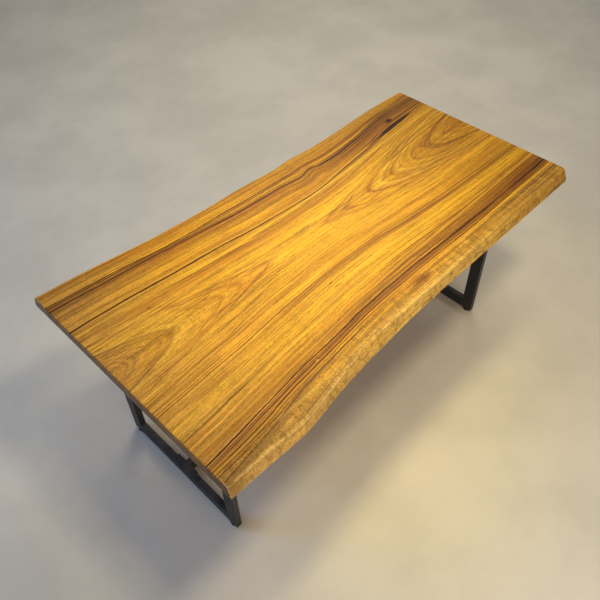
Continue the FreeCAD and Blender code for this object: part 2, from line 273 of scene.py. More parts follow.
class Surface:
    """A material with one Principled BSDF."""

    def __init__(self, slot: Slot | str) -> None:
        """Make the material.

        Args:
            slot: The slot that it finishes, or a name of its own.
        """
        self.material = bpy.data.materials.new(slot.value if isinstance(slot, Slot) else slot)
        self.material.use_nodes = True
        self.material.node_tree.nodes.clear()
        self.nodes = Nodes(self.material.node_tree)
        self.shader = self.nodes.add("ShaderNodeBsdfPrincipled")
        self.nodes.add("ShaderNodeOutputMaterial", {"Surface": self.shader.outputs[0]})

    def fed(self, inputs: dict[str, Value | Colour]) -> bpy.types.Material:
        """Feed the shader's sockets by name and give the material."""
        for name, value in inputs.items():
            self.nodes.feed(self.shader.inputs[name], value)
        return self.material


class Effect:
    """A surface effect as one node group, sized and dosed by each finish."""

    def __init__(self, name: str, size: str, *outputs: str) -> None:
        """Make the empty group with its sockets.

        Args:
            name: The group's name.
            size: The name of the input that sets its size.
            *outputs: The names of the masks or values that it puts out.
        """
        tree = bpy.data.node_groups.new(name, "ShaderNodeTree")
        sockets = [("INPUT", "Vector", "Vector"), ("INPUT", size, "Float"),
                   ("INPUT", "Amount", "Float"), *(("OUTPUT", out, "Float") for out in outputs)]
        for way, socket, kind in sockets:
            tree.interface.new_socket(name=socket, in_out=way, socket_type=f"NodeSocket{kind}")
        self.size, self.nodes = size, Nodes(tree)
        self.given = self.nodes.add("NodeGroupInput").outputs
        self.out = self.nodes.add("NodeGroupOutput").inputs

    def put(self, name: str, value: Socket) -> None:
        """Feed one of the group's outputs."""
        self.nodes.feed(self.out[name], value)

    def on(self, nodes: Nodes, size: float, amount: float) -> Sequence[Socket]:
        """Place the group in a material and give its outputs.

        Args:
            nodes: The material's nodes.
            size: The effect's size.
            amount: How strong it is.

        Returns:
            The outputs, also by name.
        """
        inputs = {"Vector": nodes.place(), self.size: size, "Amount": amount}
        return nodes.add("ShaderNodeGroup", inputs, node_tree=self.nodes.tree).outputs


class SharedEffects:
    """The surface effects that several finishes use."""

    def __init__(self) -> None:
        """Build every group once."""
        self.dust = self._dust()
        self.marks = self._marks()
        self.edges = self._rubbed_and_highlit_edges()

    @staticmethod
    def _dust() -> Effect:
        """Build the dust that settles on faces turned upwards."""
        effect = Effect("settled_dust", "Scale", "Mask")
        n, given = effect.nodes, effect.given
        upward = n.parts("Normal")[2]
        cloud = n.noise(given["Vector"], given["Scale"], 4.0, 0.62)
        mask = n.times(n.step(upward, 0.25, 0.95), n.step(cloud, 0.32, 0.7))
        effect.put("Mask", n.times(mask, given["Amount"]))
        return effect

    @staticmethod
    def _marks() -> Effect:
        """Build smudges and fine scratches left by handling."""
        effect = Effect("handling_marks", "Scale", "Rougher", "Scratches")
        n, given = effect.nodes, effect.given
        smudge = n.noise(given["Vector"], given["Scale"], 3.0, 0.55)
        finer = {"Vector": given["Vector"], "Scale": n.times(given["Scale"], 9.0),
                 "Detail": 1.0, "Distortion": 2.5}
        thin = n.size(n.minus(n.add("ShaderNodeTexNoise", finer).outputs[0], 0.5))
        scratch = n.times(n.step(thin, 0.006, 0.0), n.step(smudge, 0.5, 0.62))
        rougher = n.plus(n.minus(smudge, 0.5), n.times(scratch, 0.5))
        effect.put("Rougher", n.times(rougher, given["Amount"]))
        effect.put("Scratches", scratch)
        return effect

    @staticmethod
    def _rubbed_and_highlit_edges() -> Effect:
        """Build the band along sharp edges where handling rubs a finish, also used as a painted
        highlight along an edge.
        """
        effect = Effect("rubbed_and_highlit_edges", "Radius", "Mask")
        n, given = effect.nodes, effect.given
        rounded = n.add("ShaderNodeBevel", {"Radius": given["Radius"]}, samples=4).outputs[0]
        flat = n.add("ShaderNodeNewGeometry").outputs["Normal"]
        along = n.add("ShaderNodeVectorMath", {0: rounded, 1: flat}, operation="DOT_PRODUCT")
        patchy = n.step(n.noise(given["Vector"], 60.0, 4.0, 0.6), 0.35, 0.62)
        mask = n.times(n.step(along.outputs["Value"], 0.995, 0.90), patchy)
        effect.put("Mask", n.times(mask, given["Amount"]))
        return effect


# ---------------------------------------------------------------- grain of the slab
@dataclass(frozen=True)
class GrainLine:
    """A smooth line along the slab: a value, mostly its Y, at listed places in X."""

    points: tuple[Pair, ...]
    low: float = -0.5       # value at the foot of the curve
    tall: float = 1.0       # what the curve's full height stands for

    SPAN = 1.9              # length of slab that the curve's full width stands for

    def drawn(self, nodes: Nodes, along: Socket) -> Socket:
        """Give the line's value at a place along the slab.

        Args:
            nodes: Where the curve is added.
            along: The place along the slab, 0 to 1 over the span.

        Returns:
            The line's value there.
        """
        points = [(x / self.SPAN + 0.5, (y - self.low) / self.tall) for x, y in self.points]
        points[0], points[-1] = (0.0, points[0][1]), (1.0, points[-1][1])
        return nodes.linear(nodes.curve(along, points), self.tall, self.low)


BACK_EDGE = GrainLine((
    (-0.90, 0.479), (-0.70, 0.462), (-0.46, 0.433), (-0.22, 0.418), (0.02, 0.411),
    (0.26, 0.405), (0.50, 0.404), (0.74, 0.411), (0.90, 0.406)))
BACK_PAIR = GrainLine((
    (-0.90, 0.415), (-0.79, 0.400), (-0.63, 0.384), (-0.48, 0.364), (-0.30, 0.353),
    (-0.11, 0.347), (0.10, 0.339), (0.22, 0.339), (0.31, 0.333), (0.49, 0.343),
    (0.68, 0.362), (0.90, 0.372)))
BACK_DARK = GrainLine((
    (-0.90, 0.387), (-0.67, 0.364), (-0.48, 0.347), (-0.32, 0.330), (-0.155, 0.314),
    (0.055, 0.303), (0.160, 0.293), (0.215, 0.305), (0.264, 0.293), (0.49, 0.305),
    (0.64, 0.330), (0.76, 0.339), (0.90, 0.330)))
BACK_THIN = GrainLine((
    (-0.90, 0.265), (-0.69, 0.2525), (-0.46, 0.2325), (-0.30, 0.220), (-0.22, 0.2085),
    (-0.05, 0.196), (0.14, 0.190), (0.33, 0.211), (0.52, 0.236), (0.58, 0.250),
    (0.76, 0.268), (0.90, 0.271)))
BACK_SOFT = GrainLine((
    (-0.90, 0.215), (-0.70, 0.205), (-0.50, 0.190), (-0.30, 0.172), (-0.10, 0.166),
    (0.05, 0.164), (0.30, 0.172), (0.45, 0.182), (0.60, 0.192), (0.75, 0.200), (0.90, 0.206)))
HEART = GrainLine((
    (-0.90, 0.038), (-0.42, 0.038), (-0.12, 0.041), (0.205, 0.044), (0.58, 0.0565),
    (0.90, 0.079)))
FRONT_FINE = GrainLine((
    (-0.90, -0.140), (-0.60, -0.105), (-0.30, -0.076), (0.00, -0.064), (0.18, -0.078),
    (0.40, -0.098), (0.90, -0.128)))
FRONT_THIN = GrainLine((
    (-0.90, -0.185), (-0.55, -0.160), (-0.32, -0.141), (-0.11, -0.132), (0.08, -0.1345),
    (0.28, -0.153), (0.52, -0.170), (0.90, -0.175)))
FRONT_SOFT = GrainLine((
    (-0.90, -0.345), (-0.70, -0.330), (-0.50, -0.315), (-0.30, -0.300), (-0.10, -0.283),
    (0.05, -0.276), (0.30, -0.272), (0.60, -0.267), (0.90, -0.258)))
FRONT_DARK = GrainLine((
    (-0.90, -0.400), (-0.78, -0.383), (-0.665, -0.3695), (-0.53, -0.354), (-0.42, -0.3455),
    (-0.30, -0.338), (-0.20, -0.329), (-0.03, -0.323), (0.31, -0.327), (0.55, -0.3305),
    (0.74, -0.329), (0.90, -0.323)))
FRONT_SECOND = GrainLine((
    (-0.90, -0.426), (-0.69, -0.405), (-0.59, -0.3895), (-0.47, -0.376), (-0.32, -0.363),
    (-0.20, -0.352), (-0.03, -0.3455), (0.31, -0.3505), (0.55, -0.3505), (0.90, -0.3445)))
FRONT_THIRD = GrainLine((
    (-0.90, -0.472), (-0.76, -0.446), (-0.665, -0.432), (-0.59, -0.415), (-0.46, -0.397),
    (-0.30, -0.383), (-0.12, -0.376), (0.90, -0.376)))
FRONT_EDGE = GrainLine((
    (-0.90, -0.481), (-0.80, -0.482), (-0.69, -0.486), (-0.64, -0.488), (-0.58, -0.482),
    (-0.43, -0.4565), (-0.34, -0.440), (-0.25, -0.432), (0.10, -0.429), (0.53, -0.420),
    (0.81, -0.419), (0.90, -0.414)))


@dataclass(frozen=True)
class Streak:
    """A line or band of another tone that runs along one grain line."""

    line: GrainLine
    offset: Pair                    # towards the back, at the wide and narrow ends
    half_width: Pair                # at the wide end and at the narrow end
    strength: float
    tone: WoodTone
    span: Pair = (-2.0, 2.0)        # along X, where it fades at both ends
    lined: bool = False             # a bundle of fine lines, not one even band

    OFF_SLAB = 1.0                  # from here outwards an end of the span doesn't fade


@dataclass(frozen=True)
class Stain:
    """An oval patch of another tone, such as a pin mark or a grey cloud."""

    x: float
    y: float
    length: float
    width: float
    tone: WoodTone
    strength: float
    fray: float = 0.3       # how much its rim follows the grain


@dataclass(frozen=True)
class SlabWood:
    """Golden hardwood with a satin finish, its rings cut by a flat-sawn slab.

    The rings lie round a pith below the slab. At the slab's middle the top stands
    higher over the pith than at its ends, which opens an arch towards each end.
    """

    pith_depth: float = 0.2
    reach: Pair = (0.1696, 0.1634)  # half widths of the arches at the middle, front and back
    tip_shape: float = 1.85         # 2 gives round arches, less gives pointed ones
    rise: GrainLine = GrainLine((   # of the pith towards the top, squared
        (-0.90, 0.0221), (-0.67, 0.0103), (-0.55, 0.0061), (-0.385, 0.0025), (-0.24, 0.0008),
        (-0.12, 0.0), (-0.02, 0.0002), (0.14, 0.0022), (0.28, 0.0057), (0.49, 0.0123),
        (0.63, 0.0182), (0.71, 0.0216), (0.90, 0.0308)), 0.0, 0.04)
    dark_rings: Pair = (0.15, 0.085)    # radius gained from thin to dark line, front and back
    edge_rings: float = 0.08        # radius gained from there to either edge
    arch_rings: Pair = (0.09, 0.26)     # radius of the arches' innermost and outermost ring
    heart_flow: float = 0.36        # width that the wood between the thin lines stands for
    front_tones: Triple = (0.36, 0.19, 0.0)     # of thin line, dark line and edge
    back_tones: Triple = (0.66, 0.85, 1.0)
    roughness: float = 0.40

    STREAKS = (
        Streak(FRONT_DARK, (0.0, 0.0), (0.0036, 0.0048), 1.0, INK),
        Streak(FRONT_DARK, (-0.0085, -0.006), (0.0020, 0.0030), 0.80, UMBER),
        Streak(FRONT_DARK, (-0.0160, -0.013), (0.0024, 0.0036), 0.80, UMBER),
        Streak(FRONT_DARK, (-0.012, -0.010), (0.010, 0.008), 0.25, RUSSET, lined=True),
        Streak(FRONT_DARK, (0.012, 0.012), (0.007, 0.010), 0.75, UMBER, (-0.9, 2.0), True),
        Streak(FRONT_DARK, (0.028, 0.028), (0.014, 0.018), 0.60, UMBER, (-0.5, 2.0), True),
        Streak(FRONT_DARK, (0.012, 0.012), (0.008, 0.008), 0.35, UMBER, (0.45, 2.0)),
        Streak(FRONT_DARK, (0.020, 0.020), (0.010, 0.020), 0.30, RUSSET, (0.1, 2.0)),
        Streak(FRONT_DARK, (0.026, 0.020), (0.020, 0.010), 0.35, SIENNA, (-2.0, 0.1)),
        Streak(FRONT_SECOND, (0.0, 0.0), (0.0024, 0.0030), 0.95, UMBER),
        Streak(FRONT_SECOND, (-0.0105, -0.007), (0.0020, 0.0016), 0.75, UMBER, (-2.0, 0.0)),
        Streak(FRONT_SECOND, (-0.0200, -0.014), (0.0022, 0.0016), 0.70, UMBER, (-2.0, -0.1)),
        Streak(FRONT_SECOND, (-0.006, -0.010), (0.003, 0.003), 0.45, GOLD),
        Streak(FRONT_SECOND, (0.006, 0.005), (0.003, 0.003), 0.50, HONEY),
        Streak(FRONT_THIRD, (0.0, 0.0), (0.0040, 0.0016), 0.80, UMBER, (-2.0, 0.05)),
        Streak(FRONT_THIRD, (0.014, 0.006), (0.0120, 0.0030), 0.75, UMBER, (-2.0, -0.4), True),
        Streak(FRONT_THIRD, (0.036, 0.010), (0.0120, 0.0030), 0.70, RUSSET, (-2.0, -0.5), True),
        Streak(FRONT_THIRD, (-0.011, -0.004), (0.0140, 0.0040), 0.75, OLIVE, (-2.0, -0.35)),
        Streak(FRONT_EDGE, (0.016, 0.016), (0.0090, 0.0090), 0.55, RUSSET, (-0.80, -0.25), True),
        Streak(FRONT_SOFT, (0.0, 0.0), (0.0016, 0.0020), 0.65, UMBER, (-0.3, 2.0)),
        Streak(FRONT_SOFT, (-0.010, -0.010), (0.004, 0.004), 0.40, STRAW),
        Streak(FRONT_SOFT, (-0.018, -0.018), (0.006, 0.007), 0.60, RUSSET, lined=True),
        Streak(FRONT_SOFT, (0.010, 0.012), (0.006, 0.010), 0.55, RUSSET, (-0.3, 2.0), True),
        Streak(FRONT_THIN, (0.0, 0.0), (0.0018, 0.0018), 0.90, UMBER),
        Streak(FRONT_THIN, (0.008, 0.009), (0.0012, 0.0014), 0.40, RUSSET),
        Streak(FRONT_THIN, (-0.016, -0.018), (0.014, 0.016), 0.75, RUSSET, (-0.6, 2.0), True),
        Streak(FRONT_THIN, (-0.017, -0.017), (0.010, 0.011), 0.70, UMBER, (0.0, 2.0), True),
        Streak(FRONT_FINE, (0.0, 0.0), (0.0012, 0.0012), 0.55, RUSSET),
        Streak(FRONT_FINE, (0.006, 0.006), (0.003, 0.003), 0.30, STRAW),
        Streak(BACK_SOFT, (0.0, 0.0), (0.004, 0.008), 0.60, RUSSET, lined=True),
        Streak(BACK_SOFT, (-0.020, -0.014), (0.022, 0.014), 0.50, SIENNA, (-0.9, 0.5)),
        Streak(BACK_SOFT, (0.012, 0.020), (0.006, 0.006), 0.65, STRAW, (-0.7, 0.9)),
        Streak(BACK_THIN, (0.0, 0.0), (0.0026, 0.0020), 1.0, INK),
        Streak(BACK_THIN, (0.0, 0.0), (0.0046, 0.0034), 0.85, UMBER),
        Streak(BACK_THIN, (-0.008, -0.008), (0.0045, 0.0030), 0.70, UMBER, (-0.3, 2.0), True),
        Streak(BACK_THIN, (0.007, 0.007), (0.003, 0.003), 0.45, STRAW, (-2.0, 0.7)),
        Streak(BACK_THIN, (-0.012, -0.011), (0.0016, 0.0022), 0.75, UMBER, (0.3, 2.0)),
        Streak(BACK_THIN, (-0.024, -0.022), (0.0016, 0.0020), 0.60, RUSSET, (0.2, 2.0)),
        Streak(BACK_THIN, (0.020, 0.018), (0.010, 0.012), 0.75, UMBER, (0.35, 2.0), True),
        Streak(BACK_THIN, (0.030, 0.034), (0.020, 0.030), 0.80, RUSSET, (0.35, 2.0), True),
        Streak(BACK_DARK, (0.0, 0.0), (0.0026, 0.0028), 0.95, INK),
        Streak(BACK_DARK, (0.003, 0.003), (0.0042, 0.0034), 0.75, UMBER),
        Streak(BACK_DARK, (0.010, 0.008), (0.014, 0.010), 0.75, UMBER, lined=True),
        Streak(BACK_DARK, (0.012, 0.011), (0.0020, 0.0030), 0.80, UMBER, (0.25, 2.0)),
        Streak(BACK_DARK, (-0.010, -0.011), (0.0020, 0.0030), 0.85, UMBER, (0.2, 2.0)),
        Streak(BACK_DARK, (-0.020, -0.023), (0.0020, 0.0026), 0.80, UMBER, (0.3, 2.0)),
        Streak(BACK_DARK, (-0.030, -0.036), (0.0020, 0.0028), 0.75, UMBER, (0.35, 2.0)),
        Streak(BACK_DARK, (-0.014, -0.014), (0.011, 0.018), 0.60, UMBER, lined=True),
        Streak(BACK_DARK, (-0.050, -0.046), (0.008, 0.012), 0.50, RUSSET, lined=True),
        Streak(BACK_PAIR, (0.0, 0.0), (0.0040, 0.0030), 1.0, UMBER),
        Streak(BACK_PAIR, (-0.008, -0.008), (0.0026, 0.0022), 0.85, UMBER),
        Streak(BACK_PAIR, (0.009, 0.008), (0.0016, 0.0018), 0.55, RUSSET, (-0.2, 2.0)),
        Streak(BACK_EDGE, (-0.030, -0.024), (0.0060, 0.0040), 0.60, RUSSET, lined=True),
        Streak(BACK_EDGE, (-0.012, -0.012), (0.0035, 0.0022), 0.45, RUSSET),
    )
    STAINS = (
        Stain(-0.666, 0.172, 0.014, 0.006, UMBER, 0.7),
        Stain(-0.442, -0.365, 0.012, 0.007, CREAM, 0.5),
        Stain(-0.182, -0.179, 0.012, 0.006, UMBER, 0.7),
        Stain(-0.172, -0.201, 0.032, 0.004, UMBER, 0.8),
        Stain(0.284, 0.032, 0.014, 0.007, UMBER, 0.5),
        Stain(0.306, 0.019, 0.016, 0.004, UMBER, 0.5),
        Stain(0.042, -0.384, 0.090, 0.022, UMBER, 0.80, 1.0),
        Stain(0.035, -0.386, 0.150, 0.046, RUSSET, 0.55, 1.0),
        Stain(-0.080, -0.388, 0.300, 0.018, RUSSET, 0.35, 0.8),
        Stain(-0.560, -0.430, 0.200, 0.012, CREAM, 0.40, 0.8),
        Stain(-0.360, -0.400, 0.340, 0.026, OLIVE, 0.40, 1.0),
        Stain(-0.120, -0.396, 0.220, 0.024, OLIVE, 0.30, 1.0),
        Stain(0.300, -0.392, 0.300, 0.020, OLIVE, 0.20, 1.0),
        Stain(0.760, -0.405, 0.220, 0.016, OLIVE, 0.50, 1.2),
        Stain(-0.700, -0.212, 0.260, 0.020, RUSSET, 0.35, 0.8),
        Stain(0.620, 0.272, 0.110, 0.030, SIENNA, 0.70, 1.0),
        Stain(0.730, 0.285, 0.120, 0.016, RUSSET, 0.50, 0.8),
        Stain(0.860, 0.345, 0.200, 0.060, RUSSET, 0.40, 1.2),
    )
    # Tone across the slab by ring: 0 at the front edge, 1 at the back edge
    WIDE_TONES = (
        (0.00, CREAM), (0.035, TAN), (0.075, GOLD), (0.11, HONEY), (0.14, AMBER), (0.165, SIENNA),
        (0.185, AMBER), (0.21, HONEY), (0.26, GOLD), (0.32, GOLD), (0.36, HONEY), (0.40, HONEY),
        (0.60, HONEY), (0.66, AMBER), (0.69, HONEY), (0.74, GOLD), (0.79, AMBER), (0.85, SIENNA),
        (0.88, HONEY), (0.93, HONEY), (1.00, AMBER))
    NARROW_TONES = (
        (0.00, TAN), (0.05, TAN), (0.09, OLIVE), (0.12, TAN), (0.17, AMBER), (0.21, SIENNA),
        (0.25, AMBER), (0.29, GOLD), (0.34, GOLD), (0.37, AMBER), (0.42, HONEY), (0.60, HONEY),
        (0.66, AMBER), (0.72, AMBER), (0.78, SIENNA), (0.84, RUSSET), (0.88, AMBER), (0.93, HONEY),
        (1.00, TAN))
    # Tone by ring inside each end's arches: 0 at the innermost ring, 1 at the outermost
    WIDE_ARCHES = (
        (0.000, TAN), (0.312, HONEY), (0.321, SIENNA), (0.330, HONEY), (0.345, HONEY),
        (0.351, RUSSET), (0.358, HONEY), (0.369, HONEY), (0.377, RUSSET), (0.385, HONEY),
        (0.404, HONEY), (0.413, RUSSET), (0.422, AMBER), (0.434, AMBER), (0.446, RUSSET),
        (0.456, SIENNA), (0.470, RUSSET), (0.479, UMBER), (0.486, AMBER), (0.494, STRAW),
        (0.512, GOLD), (0.545, GOLD), (0.575, HONEY), (0.584, AMBER), (0.591, GOLD),
        (0.604, HONEY), (0.608, SIENNA), (0.612, HONEY), (0.627, HONEY), (0.633, SIENNA),
        (0.639, GOLD), (0.800, HONEY))
    NARROW_ARCHES = (
        (0.030, SIENNA), (0.070, HONEY), (0.100, AMBER), (0.125, HONEY), (0.190, HONEY),
        (0.206, AMBER), (0.220, HONEY), (0.285, HONEY), (0.302, RUSSET), (0.314, AMBER),
        (0.325, RUSSET), (0.340, HONEY), (0.400, HONEY), (0.406, AMBER), (0.415, GOLD),
        (0.460, HONEY), (0.472, STRAW), (0.492, AMBER), (0.498, SIENNA), (0.505, GOLD),
        (0.522, AMBER), (0.531, STRAW), (0.555, HONEY), (0.563, SIENNA), (0.573, HONEY),
        (0.600, HONEY), (0.609, GOLD), (0.616, SIENNA), (0.622, GOLD), (0.637, AMBER),
        (0.648, GOLD), (0.840, HONEY))

    # What lies in the wood: its node, how far the char runs past it, half width, slant
    CHARRED = (("crack_fill", 1.12, 0.0085, 0.1), ("knot_fill", 1.8, 0.0115, 0.0))

    def made(self, effects: SharedEffects) -> bpy.types.Material:
        """Build the material."""
        surface = Surface(Slot.WOOD)
        n = surface.nodes
        flow = GrainFlow(self, n)
        colour = flow.weathered(flow.streaked(flow.figured(flow.tones())))
        # Pale band along the eased arrises towards the wide end: a painted highlight of the edge,
        # partly paler sanded sapwood.
        sanded_and_highlit_arris = n.times(effects.edges.on(n, 0.0045, 1.0)["Mask"], n.step(flow.x, 0.30, -0.20))
        sanded_and_highlit_arris = n.times(sanded_and_highlit_arris, n.step(flow.beyond_dark, 0.5, 0.8))
        rougher = effects.marks.on(n, 7.0, 0.16)["Rougher"]
        return surface.fed({
            "Base Color": n.tint(sanded_and_highlit_arris, colour, BARE), "Roughness": flow.sheen(rougher),
            "Normal": flow.relief(), "Specular IOR Level": 0.20})


class GrainFlow:
    """The slab's rings and streaks, worked out at each point of the wood."""

    def __init__(self, wood: SlabWood, nodes: Nodes) -> None:
        """Work out the ring that each point lies in.

        Args:
            wood: The wood's own values.
            nodes: The material's nodes.
        """
        self.wood, self.nodes = wood, nodes
        n = nodes
        self.x, y, self.z = n.parts()
        waver = n.grain((self.x, y, self.z), (3.0, 11.0, 11.0))
        ripple = n.grain((self.x, y, self.z), (22.0, 60.0, 60.0))
        self.y = n.plus(y, n.plus(n.swing(waver, 0.010), n.swing(ripple, 0.0030)))
        self.along = n.linear(self.x, 1.0 / GrainLine.SPAN, 0.5)
        self.lines: dict[GrainLine, Socket] = {}
        self._rings()
        self.spot = (self.x, self.y, self.z)
        self.fibre = (self.x, self.flow, self.z)
        self.growth = (self.ring, self.x, self.flow)

    def line(self, grain_line: GrainLine) -> Socket:
        """Give a line's value here, drawn once for each line."""
        if grain_line not in self.lines:
            self.lines[grain_line] = grain_line.drawn(self.nodes, self.along)
        return self.lines[grain_line]

    def _side_line(self, front: GrainLine, back: GrainLine) -> Socket:
        """Give the value of the line that lies on this side of the heart."""
        return self.nodes.choose(self.back, self.line(front), self.line(back))

    def _share(self, y: Socket, start: Socket, end: Socket, clamp: bool = False) -> Socket:
        """Give how far a Y lies from one line towards another."""
        n = self.nodes
        return n.math("DIVIDE", n.minus(y, start), n.minus(end, start), clamp=clamp)

    def _rings(self) -> None:
        """Set the ring's radius, and the Y at which that ring meets the top."""
        n, wood = self.nodes, self.wood
        heart, rise = self.line(HEART), self.line(wood.rise)
        heart_depth = n.math("SQRT", n.minus(wood.pith_depth ** 2, rise))
        depth = n.math("MAXIMUM", n.minus(SLAB_HIGH.z, self.z), 0.0)
        sunk = n.minus(n.power(depth), n.times(n.times(depth, heart_depth), 2.0))
        aside = n.minus(self.y, heart)
        self.back = n.math("GREATER_THAN", aside, 0.0)
        side = n.linear(self.back, 2.0, -1.0)
        aside_squared = n.plus(n.power(n.size(aside)), sunk)
        aside = n.math("SQRT", n.math("MAXIMUM", aside_squared, 1e-7))
        self.top_y = n.plus(heart, n.times(aside, side))
        thin_line = self._side_line(FRONT_THIN, BACK_THIN)
        dark_line = self._side_line(FRONT_DARK, BACK_DARK)
        edge_line = self._side_line(FRONT_EDGE, BACK_EDGE)
        # Inside the thin lines the rings arch over the pith
        reach = n.choose(self.back, *wood.reach)
        target = n.math("SQRT", n.plus(rise, n.power(reach)))
        self.off_heart = n.math("DIVIDE", aside, n.size(n.minus(thin_line, heart)))
        pointed = n.power(n.times(target, n.power(self.off_heart, wood.tip_shape / 2.0)))
        inner = n.math("SQRT", n.plus(pointed, n.power(heart_depth)))
        inner = n.plus(n.power(inner), n.math("MINIMUM", aside_squared, 0.0))
        inner = n.math("SQRT", n.math("MAXIMUM", inner, 1e-4))
        bound = n.math("SQRT", n.plus(n.power(reach), wood.pith_depth ** 2))
        inner = n.math("MINIMUM", inner, bound)
        # Beyond them they follow the lines out to the edge
        self.beyond_thin = self._share(self.top_y, thin_line, dark_line, clamp=True)
        self.beyond_dark = n.math("MAXIMUM", self._share(self.top_y, dark_line, edge_line), 0.0)
        outer = n.plus(n.times(self.beyond_thin, n.choose(self.back, *wood.dark_rings)),
                       n.times(self.beyond_dark, wood.edge_rings))
        self.ring = n.plus(inner, outer)
        first, last = wood.arch_rings
        self.inner_share = n.math("DIVIDE", n.minus(inner, first), last - first, clamp=True)
        within = self._share(self.y, self.line(FRONT_THIN), self.line(BACK_THIN), clamp=True)
        self.flow = n.plus(n.times(within, wood.heart_flow), n.times(outer, side))

    def _across(self, places: Triple) -> Socket:
        """Give the place in the tones, from those of thin line, dark line and edge."""
        thin, dark, edge = places
        return self.nodes.plus(self.nodes.times(self.beyond_dark, edge - dark),
                               self.nodes.linear(self.beyond_thin, dark - thin, thin))

    def tones(self) -> Socket:
        """Give the broad bands of tone, across the slab and inside the arches."""
        n, wood = self.nodes, self.wood
        across = n.choose(self.back, self._across(wood.front_tones),
                          self._across(wood.back_tones))
        tone = n.mix(n.step(self.x, -0.20, 0.75), n.ramp(across, wood.WIDE_TONES),
                     n.ramp(across, wood.NARROW_TONES))
        patchy = n.grain(self.fibre, (9.0, 36.0, 36.0), 3.0, 0.6)
        ragged = n.step(self.x, -0.75, -0.45, 0.006, 0.016)
        ring = n.plus(self.inner_share, n.times(n.minus(patchy, 0.5), ragged))
        arches = n.mix(n.step(self.x, -0.16, -0.06), n.ramp(ring, wood.WIDE_ARCHES),
                       n.ramp(ring, wood.NARROW_ARCHES))
        tone = n.mix(n.step(self.beyond_thin, 0.0, 0.10), arches, tone)
        tone = n.tint(n.step(self.x, -0.30, -0.95, 0.0, 0.55), tone, DUN)
        return n.tint(n.step(self.x, 0.25, 0.85, 0.0, 0.22), tone, SIENNA)

    def figured(self, colour: Socket) -> Socket:
        """Add ring bands, fine lines, cross figure, flecks and pores to a tone."""
        n = self.nodes
        drift = n.grain(self.growth, (30.0, 0.8, 1.6), 4.0)
        bands = n.grain(self.growth, (110.0, 1.5, 26.0), 4.0, 0.66)
        self.fine_lines = n.grain(self.growth, (330.0, 1.8, 60.0), 5.0, 0.74)
        contours = n.grain(self.growth, (1700.0, 2.0, 9.0))
        cross = n.grain(self.spot, (52.0, 18.0, 34.0), 4.0, 0.6)
        calmer = n.step(self.off_heart, 0.10, 0.50, 0.42, 0.72)
        for value, start, end, strength, tone in (
                (drift, 0.46, 0.72, 0.45, SIENNA), (drift, 0.50, 0.28, 0.45, GOLD),
                (bands, 0.50, 0.74, 0.60, RUSSET), (bands, 0.46, 0.30, 0.35, STRAW),
                (self.fine_lines, 0.54, 0.66, calmer, UMBER),
                (self.fine_lines, 0.45, 0.35, 0.50, STRAW)):
            colour = n.tint(n.step(value, start, end, 0.0, strength), colour, tone)
        near_heart = n.step(self.off_heart, 0.85, 0.35)
        sapwood = n.times(n.step(self.beyond_dark, 0.25, 0.55), n.minus(1.0, self.back))
        self.near_sapwood = n.times(sapwood, n.step(self.x, 0.0, -0.4))
        for where, value, start, end, strength, tone in (
                (near_heart, contours, 0.52, 0.66, 0.26, RUSSET),
                (sapwood, cross, 0.50, 0.62, 0.48, OLIVE),
                (sapwood, cross, 0.48, 0.34, 0.22, CREAM)):
            mask = n.times(where, n.step(value, start, end, 0.0, strength))
            colour = n.tint(mask, colour, tone)
        self.flecks = n.grain(self.fibre, (9.0, 330.0, 330.0), 3.0, 0.6)
        curl = n.grain(self.fibre, (42.0, 5.0, 5.0), 1.0)
        speckle = n.grain(self.fibre, (110.0, 520.0, 520.0), 1.0)
        threads = n.grain(self.fibre, (1.5, 230.0, 230.0), 5.0, 0.7)
        shade = 1.0
        for value, width in ((self.flecks, 1.10), (curl, 0.20), (speckle, 1.00), (threads, 2.30)):
            shade = n.plus(shade, n.swing(value, width))
        colour = n.mix(1.0, colour, n.join(shade, shade, shade), blend="MULTIPLY")
        self.pores = n.step(n.grain(self.fibre, (34.0, 1500.0, 1500.0), 1.0), 0.62, 0.74)
        return n.tint(n.times(self.pores, 0.25), colour, UMBER)

    def streaked(self, colour: Socket) -> Socket:
        """Lay the streaks, stains, mottle and charred rims over a colour."""
        n = self.nodes
        fray = n.grain(self.spot, (9.0, 260.0, 260.0))
        swell = n.plus(n.grain(self.spot, (5.0, 9.0, 9.0)), 0.5)
        bundle = n.step(self.fine_lines, 0.42, 0.60, 0.12, 1.0)
        for streak in reversed(self.wood.STREAKS):
            half_width = n.step(self.x, SLAB_LOW.x, SLAB_HIGH.x, *streak.half_width)
            offset = n.step(self.x, SLAB_LOW.x, SLAB_HIGH.x, *streak.offset)
            off = n.size(n.minus(n.minus(self.top_y, self.line(streak.line)), offset))
            near = n.math("DIVIDE", off, n.times(half_width, swell))
            mask = n.step(n.plus(near, n.swing(fray, 0.9)), 1.3, 0.2, 0.0, streak.strength)
            if streak.lined:
                mask = n.times(mask, bundle)
            start, end = streak.span
            if start > -streak.OFF_SLAB:
                mask = n.times(mask, n.step(self.x, start, start + 0.3))
            if end < streak.OFF_SLAB:
                mask = n.times(mask, n.step(self.x, end, end - 0.35))
            colour = n.tint(mask, colour, streak.tone)
        for stain in self.wood.STAINS:
            along = n.math("DIVIDE", n.minus(self.x, stain.x), stain.length / 2)
            over = n.math("DIVIDE", n.minus(self.y, stain.y), stain.width / 2)
            reach = n.plus(n.power(along), n.power(over))
            reach = n.plus(reach, n.swing(self.flecks, 4.0 * stain.fray))
            colour = n.tint(n.step(reach, 1.6, 0.2, 0.0, stain.strength), colour, stain.tone)
        mottle = n.grain(self.spot, (200.0, 130.0, 160.0), 4.0, 0.65)
        for start, end, strength, tone in ((0.48, 0.62, 0.45, RUSSET), (0.46, 0.36, 0.20, CREAM)):
            mask = n.times(self.near_sapwood, n.step(mottle, start, end, 0.0, strength))
            colour = n.tint(mask, colour, tone)
        return self._charred(colour, fray)

